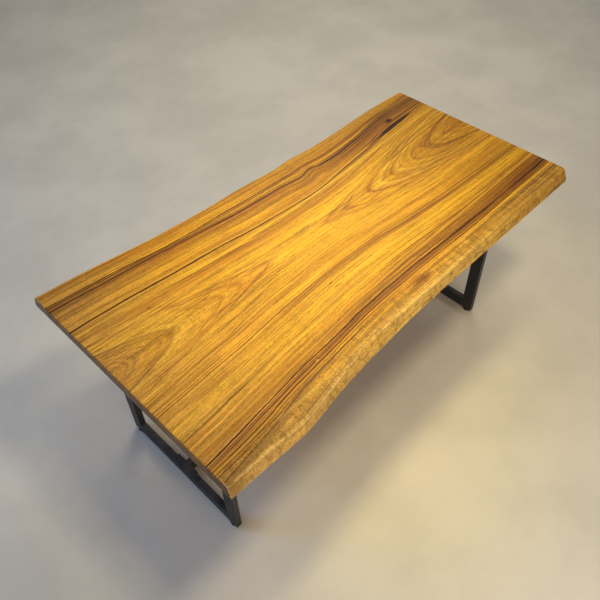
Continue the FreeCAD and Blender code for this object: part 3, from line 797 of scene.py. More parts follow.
    def _charred(self, colour: Socket, fray: Socket) -> Socket:
        """Darken the wood around the crack and the knot."""
        n = self.nodes
        for node, longer, half_y, slant in self.wood.CHARRED:
            low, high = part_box(node)
            middle, half_x = (low + high) / 2, (high.x - low.x) / 2 * longer
            along = n.minus(self.x, middle.x)
            over = n.minus(n.minus(self.y, middle.y), n.times(along, slant))
            reach = n.plus(n.power(n.math("DIVIDE", n.size(along), half_x)),
                           n.power(n.math("DIVIDE", n.size(over), half_y), 1.4))
            reach = n.plus(reach, n.swing(fray, 1.8))
            for start, end, strength, tone in (
                    (2.3, 0.9, 0.80, RUSSET), (1.2, 0.7, 0.85, UMBER), (0.8, 0.4, 0.85, INK)):
                colour = n.tint(n.step(reach, start, end, 0.0, strength), colour, tone)
        return colour

    def weathered(self, colour: Socket) -> Socket:
        """Tone the saw-cut ends and the underside."""
        n = self.nodes
        facing_x, _, facing_z = n.parts("Normal")
        end_grain = n.step(n.size(facing_x), 0.8, 0.95)
        below = n.step(facing_z, -0.7, -0.95)
        rays = n.grain((self.y, self.z, self.x), (90.0, 14.0, 1.0), 3.0)
        dark = n.tint(n.step(rays, 0.35, 0.7, 0.55, 0.85), colour, UMBER)
        colour = n.mix(n.times(end_grain, 0.9), colour, dark)
        return n.mix(n.times(below, 0.8), colour, n.tint(0.35, colour, TAN))

    def sheen(self, rougher: Socket) -> Socket:
        """Give the roughness of the satin finish.

        Args:
            rougher: What handling adds, around 0.

        Returns:
            The roughness.
        """
        n = self.nodes
        open_grain = n.linear(self.pores, 0.15, self.wood.roughness)
        return n.plus(n.plus(open_grain, rougher), n.swing(self.flecks, 0.12))

    def relief(self) -> Socket:
        """Give the normal of the brushed grain with its open pores."""
        n = self.nodes
        height = n.minus(n.times(self.flecks, 0.5), n.times(self.pores, 0.8))
        return n.bump(n.plus(height, n.times(self.fine_lines, 0.35)), 0.14, 0.0008)


# ---------------------------------------------------------------- other finishes
@dataclass(frozen=True)
class DarkResin:
    """Dark resin in the crack and the knot, sanded and coated with the top."""

    colour: Colour = srgb(34, 18, 10)
    cloud_colour: Colour = srgb(92, 50, 18)
    roughness: float = 0.34

    def made(self, effects: SharedEffects) -> bpy.types.Material:
        """Build the material."""
        surface = Surface(Slot.RESIN)
        n = surface.nodes
        cloud = n.grain(n.parts(), (22.0, 260.0, 90.0), 4.0, 0.6)
        bubble = n.add("ShaderNodeTexVoronoi", {"Vector": n.place(), "Scale": 420.0}).outputs[0]
        pinhole = n.step(bubble, 0.16, 0.08)
        rougher = effects.marks.on(n, 20.0, 0.10)["Rougher"]
        colour = n.mix(n.step(cloud, 0.48, 0.62), self.colour, self.cloud_colour)
        return surface.fed({
            "Base Color": n.mix(pinhole, colour, self.cloud_colour),
            "Roughness": n.plus(rougher, self.roughness),
            "Normal": n.bump(n.minus(cloud, n.times(pinhole, 0.6)), 0.25, 0.0004),
            "Specular IOR Level": 0.18})


@dataclass(frozen=True)
class PowderCoat:
    """Fine-textured black powder coat, dusty on top, with a painted highlight along its edges."""

    colour: Colour = srgb(23, 24, 26)
    rubbed_and_edge_highlight_colour: Colour = srgb(62, 64, 66)
    dust_colour: Colour = srgb(118, 110, 98)
    roughness: float = 0.5
    peel_scale: float = 620.0
    peel_depth: float = 0.00024

    def made(self, effects: SharedEffects) -> bpy.types.Material:
        """Build the material."""
        surface = Surface(Slot.COAT)
        n, place = surface.nodes, surface.nodes.place()
        peel = n.noise(place, self.peel_scale, 2.0, 0.55)
        grit = n.noise(place, 2300.0, 1.0)
        cloud = n.noise(place, 6.0, 3.0)
        dust = effects.dust.on(n, 22.0, 0.35)["Mask"]
        # Painted highlight: the coat is lightened towards its rubbed colour along every sharp
        # edge.
        edges = effects.edges.on(n, 0.0016, 0.55)["Mask"]
        marks = effects.marks.on(n, 9.0, 0.22)
        lighter = n.mix(0.35, self.colour, self.rubbed_and_edge_highlight_colour)
        colour = n.mix(n.step(cloud, 0.35, 0.7, 0.0, 0.35), self.colour, lighter)
        for mask in (n.step(grit, 0.55, 0.75, 0.0, 0.3), edges, n.times(marks["Scratches"], 0.35)):
            colour = n.mix(mask, colour, self.rubbed_and_edge_highlight_colour)
        return surface.fed({
            "Base Color": n.mix(dust, colour, self.dust_colour),
            "Roughness": n.linear(dust, 0.6, n.plus(marks["Rougher"], self.roughness)),
            "Normal": n.bump(n.linear(grit, 0.3, peel), 0.5, self.peel_depth)})


@dataclass(frozen=True)
class ZincPlate:
    """Bright zinc plate, slightly mottled, with dull fingerprints."""

    colour: Colour = srgb(196, 199, 203)
    dull_colour: Colour = srgb(142, 146, 150)
    warm_colour: Colour = srgb(190, 182, 160)
    roughness: float = 0.30

    def made(self, effects: SharedEffects) -> bpy.types.Material:
        """Build the material."""
        surface = Surface(Slot.ZINC)
        n, place = surface.nodes, surface.nodes.place()
        cloud = n.noise(place, 130.0, 4.0, 0.6)
        tint = n.noise(place, 45.0, 2.0)
        grain = n.noise(place, 1900.0, 1.0)
        marks = effects.marks.on(n, 60.0, 0.25)
        edges = effects.edges.on(n, 0.0006, 0.5)["Mask"]
        colour = n.mix(n.step(cloud, 0.4, 0.72), self.colour, self.dull_colour)
        colour = n.mix(n.step(tint, 0.5, 0.75, 0.0, 0.4), colour, self.warm_colour)
        colour = n.mix(marks["Scratches"], colour, self.dull_colour)
        rough = n.step(cloud, 0.3, 0.8, self.roughness, 0.46)
        return surface.fed({
            "Base Color": n.mix(edges, colour, self.colour),
            "Roughness": n.plus(marks["Rougher"], rough),
            "Normal": n.bump(grain, 0.25, 0.00008), "Metallic": 1.0})


@dataclass(frozen=True)
class Nylon:
    """Moulded black nylon, scuffed where it slides on the floor."""

    colour: Colour = srgb(34, 34, 36)
    scuff_colour: Colour = srgb(96, 94, 90)
    roughness: float = 0.55

    def made(self, effects: SharedEffects) -> bpy.types.Material:
        """Build the material."""
        surface = Surface(Slot.NYLON)
        n, place = surface.nodes, surface.nodes.place()
        cloud = n.noise(place, 240.0, 4.0, 0.65)
        grain = n.noise(place, 1500.0, 2.0)
        dust = effects.dust.on(n, 90.0, 0.4)["Mask"]
        edges = effects.edges.on(n, 0.0008, 0.6)["Mask"]
        rougher = effects.marks.on(n, 50.0, 0.2)["Rougher"]
        scuff = n.times(n.step(cloud, 0.42, 0.65), n.step(n.parts()[2], 0.0016, 0.0))
        colour = self.colour
        for mask in (scuff, edges, dust):
            colour = n.mix(mask, colour, self.scuff_colour)
        return surface.fed({
            "Base Color": colour, "Roughness": n.plus(rougher, self.roughness),
            "Normal": n.bump(grain, 0.35, 0.0001)})


@dataclass(frozen=True)
class Finishes:
    """Every material of the table, by the record's slot."""

    by_slot: dict[Slot, bpy.types.Material]

    @classmethod
    def made(cls) -> "Finishes":
        """Build every material."""
        effects = SharedEffects()
        kinds = {Slot.WOOD: SlabWood, Slot.RESIN: DarkResin, Slot.COAT: PowderCoat,
                 Slot.ZINC: ZincPlate, Slot.NYLON: Nylon}
        return cls({slot: kind().made(effects) for slot, kind in kinds.items()})

    def dress(self, names: Iterable[str], slot: Slot) -> None:
        """Give CAD nodes the slot's material."""
        for name in names:
            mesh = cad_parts[name].data
            mesh.materials.clear()
            mesh.materials.append(self.by_slot[slot])
            log.info("%s is dressed in %s", name, slot.value)


# ---------------------------------------------------------------- shapes
def copied(node: str) -> Mesh:
    """Copy a CAD node's mesh with its split corners joined."""
    work = bmesh.new()
    work.from_mesh(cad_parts[node].data)
    bmesh.ops.remove_doubles(work, verts=work.verts, dist=1e-6)
    return work


def solid_places(node: str) -> list[tuple[Vector, Vector]]:
    """Give the middle and the size of each separate solid in a CAD node."""
    work = copied(node)
    left = set(work.verts)
    places = []
    while left:
        found, waiting = [], [left.pop()]
        while waiting:
            vert = waiting.pop()
            found.append(vert.co)
            near = {edge.other_vert(vert) for edge in vert.link_edges} & left
            left -= near
            waiting.extend(near)
        low, high = Vector(map(min, zip(*found))), Vector(map(max, zip(*found)))
        places.append(((low + high) / 2, high - low))
    work.free()
    return places


def lathe(profile: Sequence[Pair], steps: int = 32) -> Mesh:
    """Turn an outline round the Z axis.

    Args:
        profile: Radius and height of each corner, starting and ending on the axis, or
            going round to its first corner again.
        steps: How many sides the turned shape has.

    Returns:
        The closed mesh.
    """
    work = bmesh.new()
    corners = [work.verts.new((radius, 0.0, height)) for radius, height in profile]
    edges = [work.edges.new(pair) for pair in zip(corners, corners[1:])]
    bmesh.ops.spin(work, geom=[*corners, *edges], cent=(0, 0, 0), axis=UP,
                   angle=2 * math.pi, steps=steps, use_merge=True)
    bmesh.ops.remove_doubles(work, verts=work.verts, dist=1e-7)
    bmesh.ops.recalc_face_normals(work, faces=work.faces)
    return work


def cut(work: Mesh, place: Vector, outward: Vector) -> None:
    """Saw off what lies outward of a plane, and close the cut."""
    bmesh.ops.bisect_plane(work, geom=[*work.verts, *work.edges, *work.faces], dist=1e-7,
                           plane_co=place, plane_no=outward, clear_outer=True)
    bmesh.ops.holes_fill(work, edges=[edge for edge in work.edges if edge.is_boundary])


def circle(work: Mesh, sides: int, radius: float, filled: bool = False) -> Edges:
    """Draw a circle on the XY plane and give its edges."""
    ring = bmesh.ops.create_circle(work, cap_ends=filled, segments=sides, radius=radius)["verts"]
    return list({edge for vert in ring for edge in vert.link_edges})


def grown(work: Mesh, edges: Edges, radius: float, height: float) -> Edges:
    """Extrude a ring of edges round the Z axis.

    Args:
        work: The mesh that grows.
        edges: The ring that it grows from.
        radius: The new ring's radius.
        height: The new ring's height.

    Returns:
        The new ring.
    """
    parts = bmesh.ops.extrude_edge_only(work, edges=edges)["geom"]
    ring = [part for part in parts if isinstance(part, bmesh.types.BMEdge)]
    for vert in {vert for edge in ring for vert in edge.verts}:
        vert.co = Vector((vert.co.x, vert.co.y, 0.0)).normalized() * radius + UP * height
    return ring


def extruded(work: Mesh, keep: bool) -> list[bmesh.types.BMVert]:
    """Extrude every face and give the new corners.

    Args:
        work: The mesh.
        keep: Whether the faces also stay where they are.

    Returns:
        The corners of the extruded faces.
    """
    geom = bmesh.ops.extrude_face_region(work, geom=work.faces[:], use_keep_orig=keep)["geom"]
    return [part for part in geom if isinstance(part, bmesh.types.BMVert)]


def merged(into: Mesh, part: Mesh, turn: Matrix) -> None:
    """Place a copy of one mesh in another.

    Args:
        into: The mesh that grows.
        part: The mesh that is copied.
        turn: Where the copy goes.
    """
    mesh = bpy.data.meshes.new("copy")
    part.to_mesh(mesh)
    mesh.transform(turn)
    into.from_mesh(mesh)
    bpy.data.meshes.remove(mesh)


def facing(axis: Vector, place: Vector) -> Matrix:
    """Give the turn that points +Z along an axis, then moves to a place."""
    return Matrix.Translation(place) @ axis.to_track_quat("Z", "Y").to_matrix().to_4x4()


def finished(name: str, work: Mesh, slot: Slot, finishes: Finishes, stands_for: Iterable[str] = (),
             body: str = TABLE, sharp: float = 32.0) -> bpy.types.Object:
    """Make a mesh into a piece of the table.

    Args:
        name: The piece's name.
        work: Its shape, which is used up.
        slot: The slot of its finish.
        finishes: Every material.
        stands_for: The CAD nodes that it replaces.
        body: The body that it moves with.
        sharp: The angle in degrees from which an edge looks sharp.

    Returns:
        The piece.
    """
    mesh = bpy.data.meshes.new(name)
    work.to_mesh(mesh)
    work.free()
    copied_normals = mesh.attributes.get("custom_normal")
    if copied_normals:
        mesh.attributes.remove(copied_normals)
    mesh.shade_smooth()
    mesh.set_sharp_from_angle(angle=math.radians(sharp))
    mesh.materials.append(finishes.by_slot[slot])
    piece = bpy.data.objects.new(name, mesh)
    bpy.context.scene.collection.objects.link(piece)
    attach(piece, body)
    if stands_for:
        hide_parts(*stands_for)
    log.info("%s: %d faces, %s", name, len(mesh.polygons), slot.value)
    return piece


# ---------------------------------------------------------------- the slab
@dataclass
class LiveSlab:
    """The slab, its live edges sunk into the small hollows left by the bark."""

    finishes: Finishes
    grid: Pair = (0.009, 0.0045)    # lengths of a live edge's faces, along and up
    deepest: float = 0.0026         # of the hollows
    ease: float = 0.007             # from an arris, over which the hollows start
    side_starts: float = 0.36       # least distance of a live edge from the centre line
    side_facing: float = 0.35       # least part of a live edge's normal along Y

    def build(self) -> None:
        """Build the slab and dress what lies in it."""
        work = copied("slab")
        for axis, step in zip((ALONG, UP), self.grid):
            self._divide(work, axis, step)
        self._wear(work)
        finished("live_slab", work, Slot.WOOD, self.finishes, ["slab"], sharp=28.0)
        self.finishes.dress(["crack_fill", "knot_fill"], Slot.RESIN)

    def _edge_faces(self, work: Mesh) -> list[bmesh.types.BMFace]:
        """Give the faces of both live edges."""
        return [face for face in work.faces if abs(face.normal.y) > self.side_facing
                and abs(face.calc_center_median().y) > self.side_starts]

    def _divide(self, work: Mesh, axis: Vector, step: float) -> None:
        """Cut the live edges across an axis into faces of about one length."""
        low, high = SLAB_LOW.dot(axis), SLAB_HIGH.dot(axis)
        count = round((high - low) / step)
        for number in range(1, count):
            faces = self._edge_faces(work)
            edges = {edge for face in faces for edge in face.edges}
            verts = {vert for face in faces for vert in face.verts}
            bmesh.ops.bisect_plane(work, geom=[*faces, *edges, *verts], dist=1e-5, plane_no=axis,
                                   plane_co=axis * (low + (high - low) * number / count))

    def _wear(self, work: Mesh) -> None:
        """Hollow the live edges inwards, most between their two arrises."""
        inner = {vert for face in self._edge_faces(work) for vert in face.verts}
        inner = {vert for vert in inner if all(
            abs(face.normal.y) > self.side_facing for face in vert.link_faces)}
        for vert in inner:
            x, y, z = vert.co
            room = min(z - SLAB_LOW.z - 0.003, SLAB_HIGH.z - 0.002 - z,
                       x - SLAB_LOW.x, SLAB_HIGH.x - x)
            reach = min(max(room / self.ease, 0.0), 1.0)
            side = math.copysign(1.0, y)
            long = noise.noise(Vector((x * 9.0, side * 4.0, z * 14.0)))
            short = noise.noise(Vector((x * 34.0, side * 9.0, z * 22.0)))
            fine = noise.noise(Vector((x * 95.0, side * 3.0, z * 160.0)))
            hollow = min(max(0.42 + 0.75 * long + 0.42 * short + 0.16 * fine, 0.0), 1.0)
            vert.co.y -= side * hollow * reach * self.deepest


# ---------------------------------------------------------------- fasteners
HEX_SHARP = 26.0        # degrees, so that the chamfers of a hexagon's corners show


@dataclass(frozen=True)
class HexSize:
    """A hexagon of a fastener."""

    across_flats: float
    height: float
    chamfer: float = 0.0002     # how far inside the flats the turned corners start

    def solid(self, hole: float = 0.0, both_ends: bool = False) -> Mesh:
        """Build the hexagon on the XY plane, with turned corners.

        Args:
            hole: The diameter of the hole through it, 0 for none.
            both_ends: Whether its lower corners are turned too.

        Returns:
            The closed mesh.
        """
        work = bmesh.new()
        rim = bmesh.ops.create_circle(work, cap_ends=False, segments=6,
                                      radius=self.across_flats / math.sqrt(3.0))["verts"]
        if hole:
            bmesh.ops.subdivide_edges(work, edges=work.edges[:], cuts=3)
            bmesh.ops.create_circle(work, cap_ends=False, segments=24, radius=hole / 2)
            bmesh.ops.bridge_loops(work, edges=work.edges[:])
        else:
            bmesh.ops.contextual_create(work, geom=rim)
        bmesh.ops.translate(work, verts=extruded(work, keep=True), vec=UP * self.height)
        bmesh.ops.recalc_face_normals(work, faces=work.faces)
        self._turn_corners(work, self.height, 1.0)
        if both_ends:
            self._turn_corners(work, 0.0, -1.0)
        return work

    def _turn_corners(self, work: Mesh, height: float, way: float) -> None:
        """Cut the corners of one end to a shallow cone."""
        sides = 24
        for number in range(sides):
            angle = 2 * math.pi * number / sides
            out = Vector((math.cos(angle), math.sin(angle), 0.0))
            slope = (out * 0.5 + UP * way * 0.866).normalized()
            cut(work, out * (self.across_flats / 2 - self.chamfer) + UP * height, slope)


@dataclass(frozen=True)
class Thread:
    """A metric outer thread, standing on the XY plane."""

    length: float
    sides: int
    diameter: float = 0.008
    pitch: float = 0.00125

    def solid(self) -> Mesh:
        """Build the thread with flat ends."""
        work = bmesh.new()
        root, crest = self.diameter / 2 - 0.61 * self.pitch, self.diameter / 2
        profile = ((root, 0.0), (root, 0.2), (crest, 0.5), (crest, 0.62), (root, 1.0))
        corners = [work.verts.new((radius, 0.0, (share - 1.0) * self.pitch))
                   for radius, share in profile]
        edges = [work.edges.new(pair) for pair in zip(corners, corners[1:])]
        turns = math.ceil(self.length / self.pitch) + 2
        bmesh.ops.spin(work, geom=[*corners, *edges], cent=(0, 0, 0), axis=UP,
                       dvec=UP * self.pitch / self.sides, angle=2 * math.pi * turns,
                       steps=self.sides * turns)
        bmesh.ops.remove_doubles(work, verts=work.verts, dist=1e-6)
        bmesh.ops.recalc_face_normals(work, faces=work.faces)
        cut(work, Vector(), -UP)
        cut(work, UP * self.length, UP)
        return work


@dataclass(frozen=True)
class PanScrew:
    """A pan-head wood screw with a cross recess, its head standing on the XY plane."""

    head_diameter: float = 0.010
    head_height: float = 0.0032
    shank_diameter: float = 0.005
    recess: float = 0.0011          # width of the cross's arms
    recess_depth: float = 0.0019

    def head(self) -> Mesh:
        """Build the head, open below."""
        work = bmesh.new()
        bmesh.ops.create_grid(work, x_segments=3, y_segments=3, size=self.recess * 1.5)
        corners = [face for face in work.faces if min(
            abs(face.calc_center_median().x), abs(face.calc_center_median().y)) > self.recess / 2]
        bmesh.ops.delete(work, geom=corners, context="FACES")
        cross = work.faces[:]
        floor = extruded(work, keep=False)
        bmesh.ops.delete(work, geom=cross, context="FACES_ONLY")
        bmesh.ops.translate(work, verts=floor, vec=-UP * self.recess_depth)
        bmesh.ops.scale(work, verts=floor, vec=(0.5, 0.5, 1.0))
        rim = [edge for edge in work.edges if edge.is_boundary]
        outer = circle(work, 12, self.head_diameter * 0.26)
        bmesh.ops.bridge_loops(work, edges=rim + outer)
        for radius, drop in ((0.38, 0.12), (0.46, 0.32), (0.5, 0.62), (0.5, 1.0)):
            outer = grown(work, outer, self.head_diameter * radius, -self.head_height * drop)
        bmesh.ops.translate(work, verts=work.verts, vec=UP * self.head_height)
        bmesh.ops.recalc_face_normals(work, faces=work.faces)
        return work


@dataclass
class Hardware:
    """The bolts, washers, nuts and screws, each group one piece."""

    finishes: Finishes
    bolt_hex: HexSize = HexSize(0.013, 0.0053)
    nut_hex: HexSize = HexSize(0.013, 0.0065)
    washer_hole: float = 0.0086
    nut_play: float = 0.0001        # between a nut's hole and the thread

    def build(self) -> None:
        """Build every group in the places of its solids."""
        for build, parts in ((self._bolts, "bolts"), (self._washers, "washers")):
            for kind, axis in (("mounting", UP), ("stretcher", ALONG)):
                build(f"{kind}_{parts}", axis)
        self._nuts("stretcher_nuts", ALONG)
        self._nuts("leveller_nuts", UP)
        self._screws()
        self.finishes.dress(["slab_inserts"], Slot.ZINC)

    @staticmethod
    def _outward(node: str, middle: Vector, axis: Vector) -> Vector:
        """Give the axis turned from a bolt's tip to its head."""
        if axis is UP:
            return -UP
        low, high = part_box(node)
        return axis * math.copysign(1.0, (low.x + high.x) / 2 - middle.x)

    def _bolts(self, node: str, axis: Vector) -> None:
        """Build hex bolts, their heads at the outward ends of their boxes."""
        work, head = bmesh.new(), self.bolt_hex.solid()
        places = solid_places(node)
        long = abs(places[0][1].dot(axis))
        reach = long - self.bolt_hex.height
        shank = Thread(reach + BITE, 16).solid()
        for middle, _ in places:
            outward = self._outward(node, middle, axis)
            under_head = middle + outward * (long / 2 - self.bolt_hex.height)
            merged(work, head, facing(outward, under_head))
            merged(work, shank, facing(-outward, under_head + outward * BITE))
        finished(f"threaded_{node}", work, Slot.ZINC, self.finishes, [node], sharp=HEX_SHARP)

    def _washers(self, node: str, axis: Vector) -> None:
        """Build washers with the soft rims of punched steel."""
        work = bmesh.new()
        for middle, size in solid_places(node):
            thick, outer = abs(size.dot(axis)), max(size) / 2
            inner, soft = self.washer_hole / 2, thick * 0.25
            ring = lathe(((inner, soft), (inner + soft, 0.0), (outer - soft, 0.0), (outer, soft),
                          (outer, thick - soft), (outer - soft, thick), (inner + soft, thick),
                          (inner, thick - soft), (inner, soft)))
            merged(work, ring, facing(axis, middle - axis * thick / 2))
        finished(f"punched_{node}", work, Slot.ZINC, self.finishes, [node])

    def _nuts(self, node: str, axis: Vector) -> None:
        """Build hex nuts with turned corners on both faces."""
        work = bmesh.new()
        nut = self.nut_hex.solid(Thread.diameter + self.nut_play, both_ends=True)
        for middle, _ in solid_places(node):
            merged(work, nut, facing(axis, middle - axis * self.nut_hex.height / 2))
        finished(f"turned_{node}", work, Slot.ZINC, self.finishes, [node], sharp=HEX_SHARP)

    def _screws(self) -> None:
        """Build the cross-headed screws of the stiffeners."""
        work, screw = bmesh.new(), PanScrew()
        head, radius = screw.head(), screw.shank_diameter / 2
        for middle, size in solid_places("stiffener_screws"):
            long = size.z - screw.head_height
            shank = lathe(((0.0, 0.0), (radius, 0.0), (radius, long * 0.3),
                           (radius * 0.8, long * 0.32), (radius * 0.8, long * 0.86),
                           (0.0, long)), 12)
            under_head = middle + UP * (screw.head_height - size.z / 2)
            merged(work, head, facing(-UP, under_head))
            merged(work, shank, Matrix.Translation(under_head - UP * 2 * BITE))
        finished("cross_head_stiffener_screws", work, Slot.ZINC, self.finishes,
                 ["stiffener_screws"])


@dataclass
class Levellers:
    """The levelling feet: a threaded stud with a hex collar, in a moulded pad."""

    finishes: Finishes
    collar: HexSize = HexSize(0.014, 0.005)
    spigot: float = 0.003           # length of the stud's end inside the pad
    spigot_diameter: float = 0.006
    pad_radius: float = 0.015

    def build(self) -> None:
        """Build the four feet."""
        for end in ENDS:
            for side in SIDES:
                self._stud(f"{end}_{side}")
                self._pad(f"{end}_{side}")

    def _stud(self, corner: str) -> None:
        """Build one stud with its thread, collar and spigot."""
        low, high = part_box(f"leveller_stud_{corner}")
        middle = (low + high) / 2
        foot = Vector((middle.x, middle.y, low.z))
        seat = foot + UP * self.spigot
        work = self.collar.solid(both_ends=True)
        bmesh.ops.translate(work, verts=work.verts, vec=seat)
        thread = Thread(high.z - seat.z - self.collar.height + BITE, 24).solid()
        merged(work, thread, Matrix.Translation(seat + UP * (self.collar.height - BITE)))
        radius, reach = self.spigot_diameter / 2, self.spigot + BITE
        pin = lathe(((0.0, 0.0), (radius * 0.85, 0.0), (radius, 0.0004), (radius, reach),
                     (0.0, reach)), 20)
        merged(work, pin, Matrix.Translation(foot))
        finished(f"threaded_stud_{corner}", work, Slot.ZINC, self.finishes,
                 [f"leveller_stud_{corner}"], f"leveller_{corner}", HEX_SHARP)

    def _pad(self, corner: str) -> None:
        """Build one pad with a rounded rim and a raised ring."""
        low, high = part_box(f"leveller_pad_{corner}")
        middle = (low + high) / 2
        tall, radius = high.z - low.z, self.pad_radius
        hole, floor = self.spigot_diameter / 2 + 0.0001, tall - self.spigot
        work = lathe(((0.0, 0.0), (radius - 0.0010, 0.0), (radius - 0.0003, 0.0003),
                      (radius, 0.0010), (radius, tall - 0.0022), (radius - 0.0004, tall - 0.0012),
                      (radius - 0.0014, tall - 0.0006), (radius - 0.0030, tall - 0.0004),
                      (0.0092, tall - 0.0006), (0.0088, tall - 0.0002), (0.0080, tall),
                      (hole + 0.0003, tall), (hole, tall - 0.0003), (hole, floor), (0.0, floor)),
                     48)
        bmesh.ops.translate(work, verts=work.verts, vec=Vector((middle.x, middle.y, low.z)))
        finished(f"moulded_pad_{corner}", work, Slot.NYLON, self.finishes,
                 [f"leveller_pad_{corner}"], f"leveller_{corner}")


# ---------------------------------------------------------------- the base
@dataclass(frozen=True)
class Bead:
    """One run of weld between two points."""

    start: Vector
    end: Vector
    radius: float
    ripple: float = 0.0022      # length of each of its scales
    sides: int = 8

    def add_to(self, into: Mesh) -> None:
        """Add the run to a mesh."""
        along = self.end - self.start
        count = max(round(along.length / self.ripple), 2)
        work = bmesh.new()
        edges = circle(work, self.sides, self.radius * 0.5, filled=True)
        for number in range(1, 2 * count + 1):
            ripple = 1.0 - 0.12 * (number % 2)
            share = {0: 0.5, 1: 0.85}.get(2 * count - number, ripple)
            edges = grown(work, edges, self.radius * share, along.length * number / (2 * count))
        bmesh.ops.contextual_create(work, geom=edges)
        bmesh.ops.recalc_face_normals(work, faces=work.faces)
        merged(into, work, facing(along.normalized(), self.start))
        work.free()


@dataclass
class Base:
    """The welded leg frames and the stretcher between them."""

    finishes: Finishes
    stitch: float = 0.045           # length of each weld under a mounting plate
    stitch_places: tuple[float, ...] = (-0.24, -0.08, 0.08, 0.24)
    stitch_radius: float = 0.0032
    stitch_drop: float = 0.0012     # of its middle under the plate
    corner_radius: float = 0.0022
    corner_width: float = 0.018     # of each weld across a corner of the frame
    end_gap: float = 0.004          # from a weld of the stretcher to its upper and lower edge
    tube_depth: float = 0.025
    tube_face: float = 0.050

    MEMBERS = ("front_post", "back_post", "bottom_rail", "top_rail", "mounting_plate")
    PLAIN = ("stretcher", "stretcher_wide_end_plate", "stretcher_narrow_end_plate",
             "stiffener_wide_end", "stiffener_middle", "stiffener_narrow_end")

    def build(self) -> None:
        """Dress the tubes and plates and weld them."""
        for end_name in ENDS:
            self.finishes.dress([f"{end_name}_{member}" for member in self.MEMBERS], Slot.COAT)
            self._weld_frame(end_name)
        self.finishes.dress(self.PLAIN, Slot.COAT)
        self._weld_stretcher()

    def _weld_frame(self, end_name: str) -> None:
        """Weld the plate to the top rail, and the frame's inner corners."""
        low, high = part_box(f"{end_name}_top_rail")
        middle = (low.x + high.x) / 2
        work = bmesh.new()
        side_x = self.tube_depth / 2 - BITE
        for place in self.stitch_places:
            for way in (-1, 1):
                start = Vector((middle + way * side_x, place - self.stitch / 2,
                                high.z - self.stitch_drop))
                end = start + Vector((0.0, self.stitch, 0.0))
                Bead(start, end, self.stitch_radius).add_to(work)
        frame_low, frame_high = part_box(f"{end_name}_bottom_rail")
        for height in (frame_low.z + self.tube_face, low.z):
            for side in (frame_low.y + self.tube_face, frame_high.y - self.tube_face):
                start = Vector((middle - self.corner_width / 2, side, height))
                Bead(start, start + ALONG * self.corner_width, self.corner_radius).add_to(work)
        finished(f"{end_name}_welds", work, Slot.COAT, self.finishes)

    def _weld_stretcher(self) -> None:
        """Weld the stretcher to its end plates."""
        low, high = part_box("stretcher")
        work = bmesh.new()
        for place in (low.x, high.x):
            for way in (-1, 1):
                start = Vector((place, way * (self.tube_depth / 2 - BITE), low.z + self.end_gap))
                end = start + UP * (high.z - low.z - 2 * self.end_gap)
                Bead(start, end, self.corner_radius).add_to(work)
        finished("stretcher_welds", work, Slot.COAT, self.finishes)


# ---------------------------------------------------------------- studio
@dataclass(frozen=True)
class Lamp:
    """One soft light: an area lamp, or a spot when it has a cone."""

    name: str
    place: Triple
    aim: Triple
    size: float             # side of an area lamp, radius of a spot
    power: float            # watts
    colour: Triple
    cone: float = 0.0       # degrees across, 0 for an area lamp

    def hang(self) -> None:
        """Add the lamp to the scene."""
        data = bpy.data.lights.new(self.name, "SPOT" if self.cone else "AREA")
        data.energy, data.color = self.power, self.colour
        if self.cone:
            data.spot_size, data.spot_blend = math.radians(self.cone), 1.0
            data.shadow_soft_size = self.size
        else:
            data.size = self.size
        lamp = bpy.data.objects.new(self.name, data)
        lamp.location = self.place
        toward = Vector(self.aim) - Vector(self.place)
        lamp.rotation_euler = toward.to_track_quat("-Z", "Y").to_euler()
        bpy.context.scene.collection.objects.link(lamp)


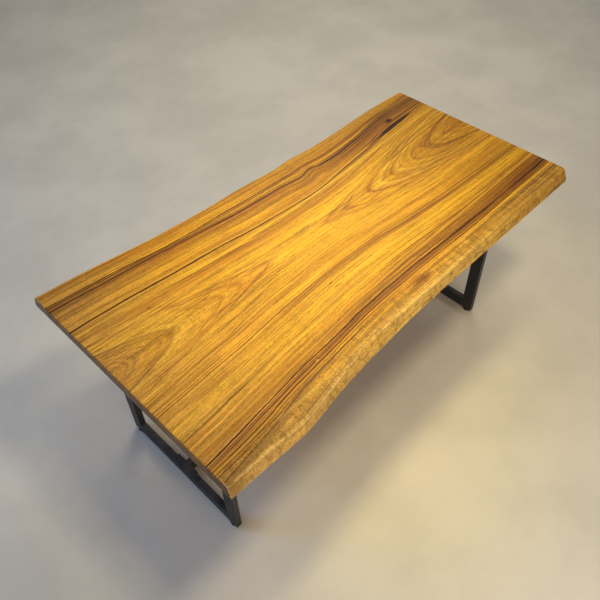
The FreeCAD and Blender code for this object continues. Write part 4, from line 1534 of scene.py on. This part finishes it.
@dataclass
class Studio:
    """The floor, the lights and the camera around the table."""

    camera_place: Triple = (-1.30753, -1.190, 2.30744)
    heading: float = 45.8689        # degrees, from +X towards +Y
    tilt: float = 47.7993           # degrees down from level
    roll: float = -1.62165          # degrees
    lens: float = 39.801            # millimetres
    sensor: float = 36.0            # millimetres wide
    floor_size: float = 30.0
    floor_colour: Colour = srgb(236, 228, 212)
    cloud_share: float = 0.88       # brightness of the floor's darker clouds
    glow: Colour = (0.78, 0.84, 1.0, 1.0)
    glow_strength: float = 0.18
    backdrop: Colour = srgb(206, 203, 196)

    LAMPS = (
        Lamp("pendant", (-0.13, -0.10, 3.0), (-0.13, -0.10, 0.72), 0.25, 142.0,
             (1.0, 0.86, 0.42), 46.0),
        Lamp("key", (0.15, -1.00, 3.1), (-0.1, -0.3, 0.4), 0.4, 28.0, (1.0, 0.86, 0.58)),
        Lamp("front", (-0.90, -3.20, 1.0), (-0.3, -0.5, 0.66), 1.2, 38.0, (1.0, 0.88, 0.66)),
        Lamp("ceiling", (2.0, 1.9, 3.5), (1.4, 1.4, 0.0), 2.0, 52.0, (1.0, 0.92, 0.72)),
        Lamp("window", (-2.3, 1.8, 3.2), (-1.3, 0.7, 0.0), 1.3, 29.0, (0.26, 0.50, 1.0)),
    )

    def camera(self) -> None:
        """Place the camera and make it the scene's."""
        data = bpy.data.cameras.new("view")
        data.sensor_width = self.sensor
        data.lens = self.lens
        camera = bpy.data.objects.new("view", data)
        heading, tilt, roll = (math.radians(a) for a in (self.heading, self.tilt, self.roll))
        ahead = Vector((math.cos(heading) * math.cos(tilt), math.sin(heading) * math.cos(tilt),
                        -math.sin(tilt)))
        level = Vector((math.sin(heading), -math.cos(heading), 0.0))
        over = level.cross(ahead)
        right = math.cos(roll) * level + math.sin(roll) * over
        up = math.cos(roll) * over - math.sin(roll) * level
        turn = Matrix((right, up, -ahead)).transposed().to_4x4()
        camera.matrix_world = Matrix.Translation(self.camera_place) @ turn
        bpy.context.scene.collection.objects.link(camera)
        bpy.context.scene.camera = camera

    def floor(self) -> None:
        """Lay a plain pale floor."""
        mesh = bpy.data.meshes.new("floor")
        work = bmesh.new()
        bmesh.ops.create_grid(work, x_segments=1, y_segments=1, size=self.floor_size / 2)
        work.to_mesh(mesh)
        work.free()
        floor = bpy.data.objects.new("floor", mesh)
        bpy.context.scene.collection.objects.link(floor)
        surface = Surface("pale_floor")
        n = surface.nodes
        cloud = n.step(n.noise(n.place(), 1.7, 5.0, 0.6), 0.35, 0.65)
        dark = (*(self.cloud_share * part for part in self.floor_colour[:3]), 1.0)
        mesh.materials.append(surface.fed({
            "Base Color": n.mix(cloud, self.floor_colour, dark), "Roughness": 0.6}))

    def lights(self) -> None:
        """Hang the lights and set the room's own glow."""
        world = bpy.data.worlds.new("room")
        world.use_nodes = True
        nodes = Nodes(world.node_tree)
        glow = world.node_tree.nodes["Background"]
        glow.inputs[0].default_value = self.glow
        glow.inputs[1].default_value = self.glow_strength
        seen = nodes.add("ShaderNodeBackground", {0: self.backdrop})
        seen_directly = nodes.add("ShaderNodeLightPath").outputs["Is Camera Ray"]
        both = nodes.add("ShaderNodeMixShader", {0: seen_directly, 1: glow.outputs[0],
                                                 2: seen.outputs[0]})
        nodes.feed(world.node_tree.nodes["World Output"].inputs[0], both.outputs[0])
        bpy.context.scene.world = world
        for lamp in self.LAMPS:
            lamp.hang()

    def set_up(self) -> None:
        """Set up everything around the table."""
        self.camera()
        self.floor()
        self.lights()
        bpy.context.scene.view_settings.view_transform = "Standard"


# ---------------------------------------------------------------- the table
def main() -> None:
    """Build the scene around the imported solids."""
    logging.basicConfig(level=logging.INFO, format="%(name)s: %(message)s")
    Studio().set_up()
    finishes = Finishes.made()
    LiveSlab(finishes).build()
    Base(finishes).build()
    Hardware(finishes).build()
    Levellers(finishes).build()


if __name__ == "__main__":
    main()
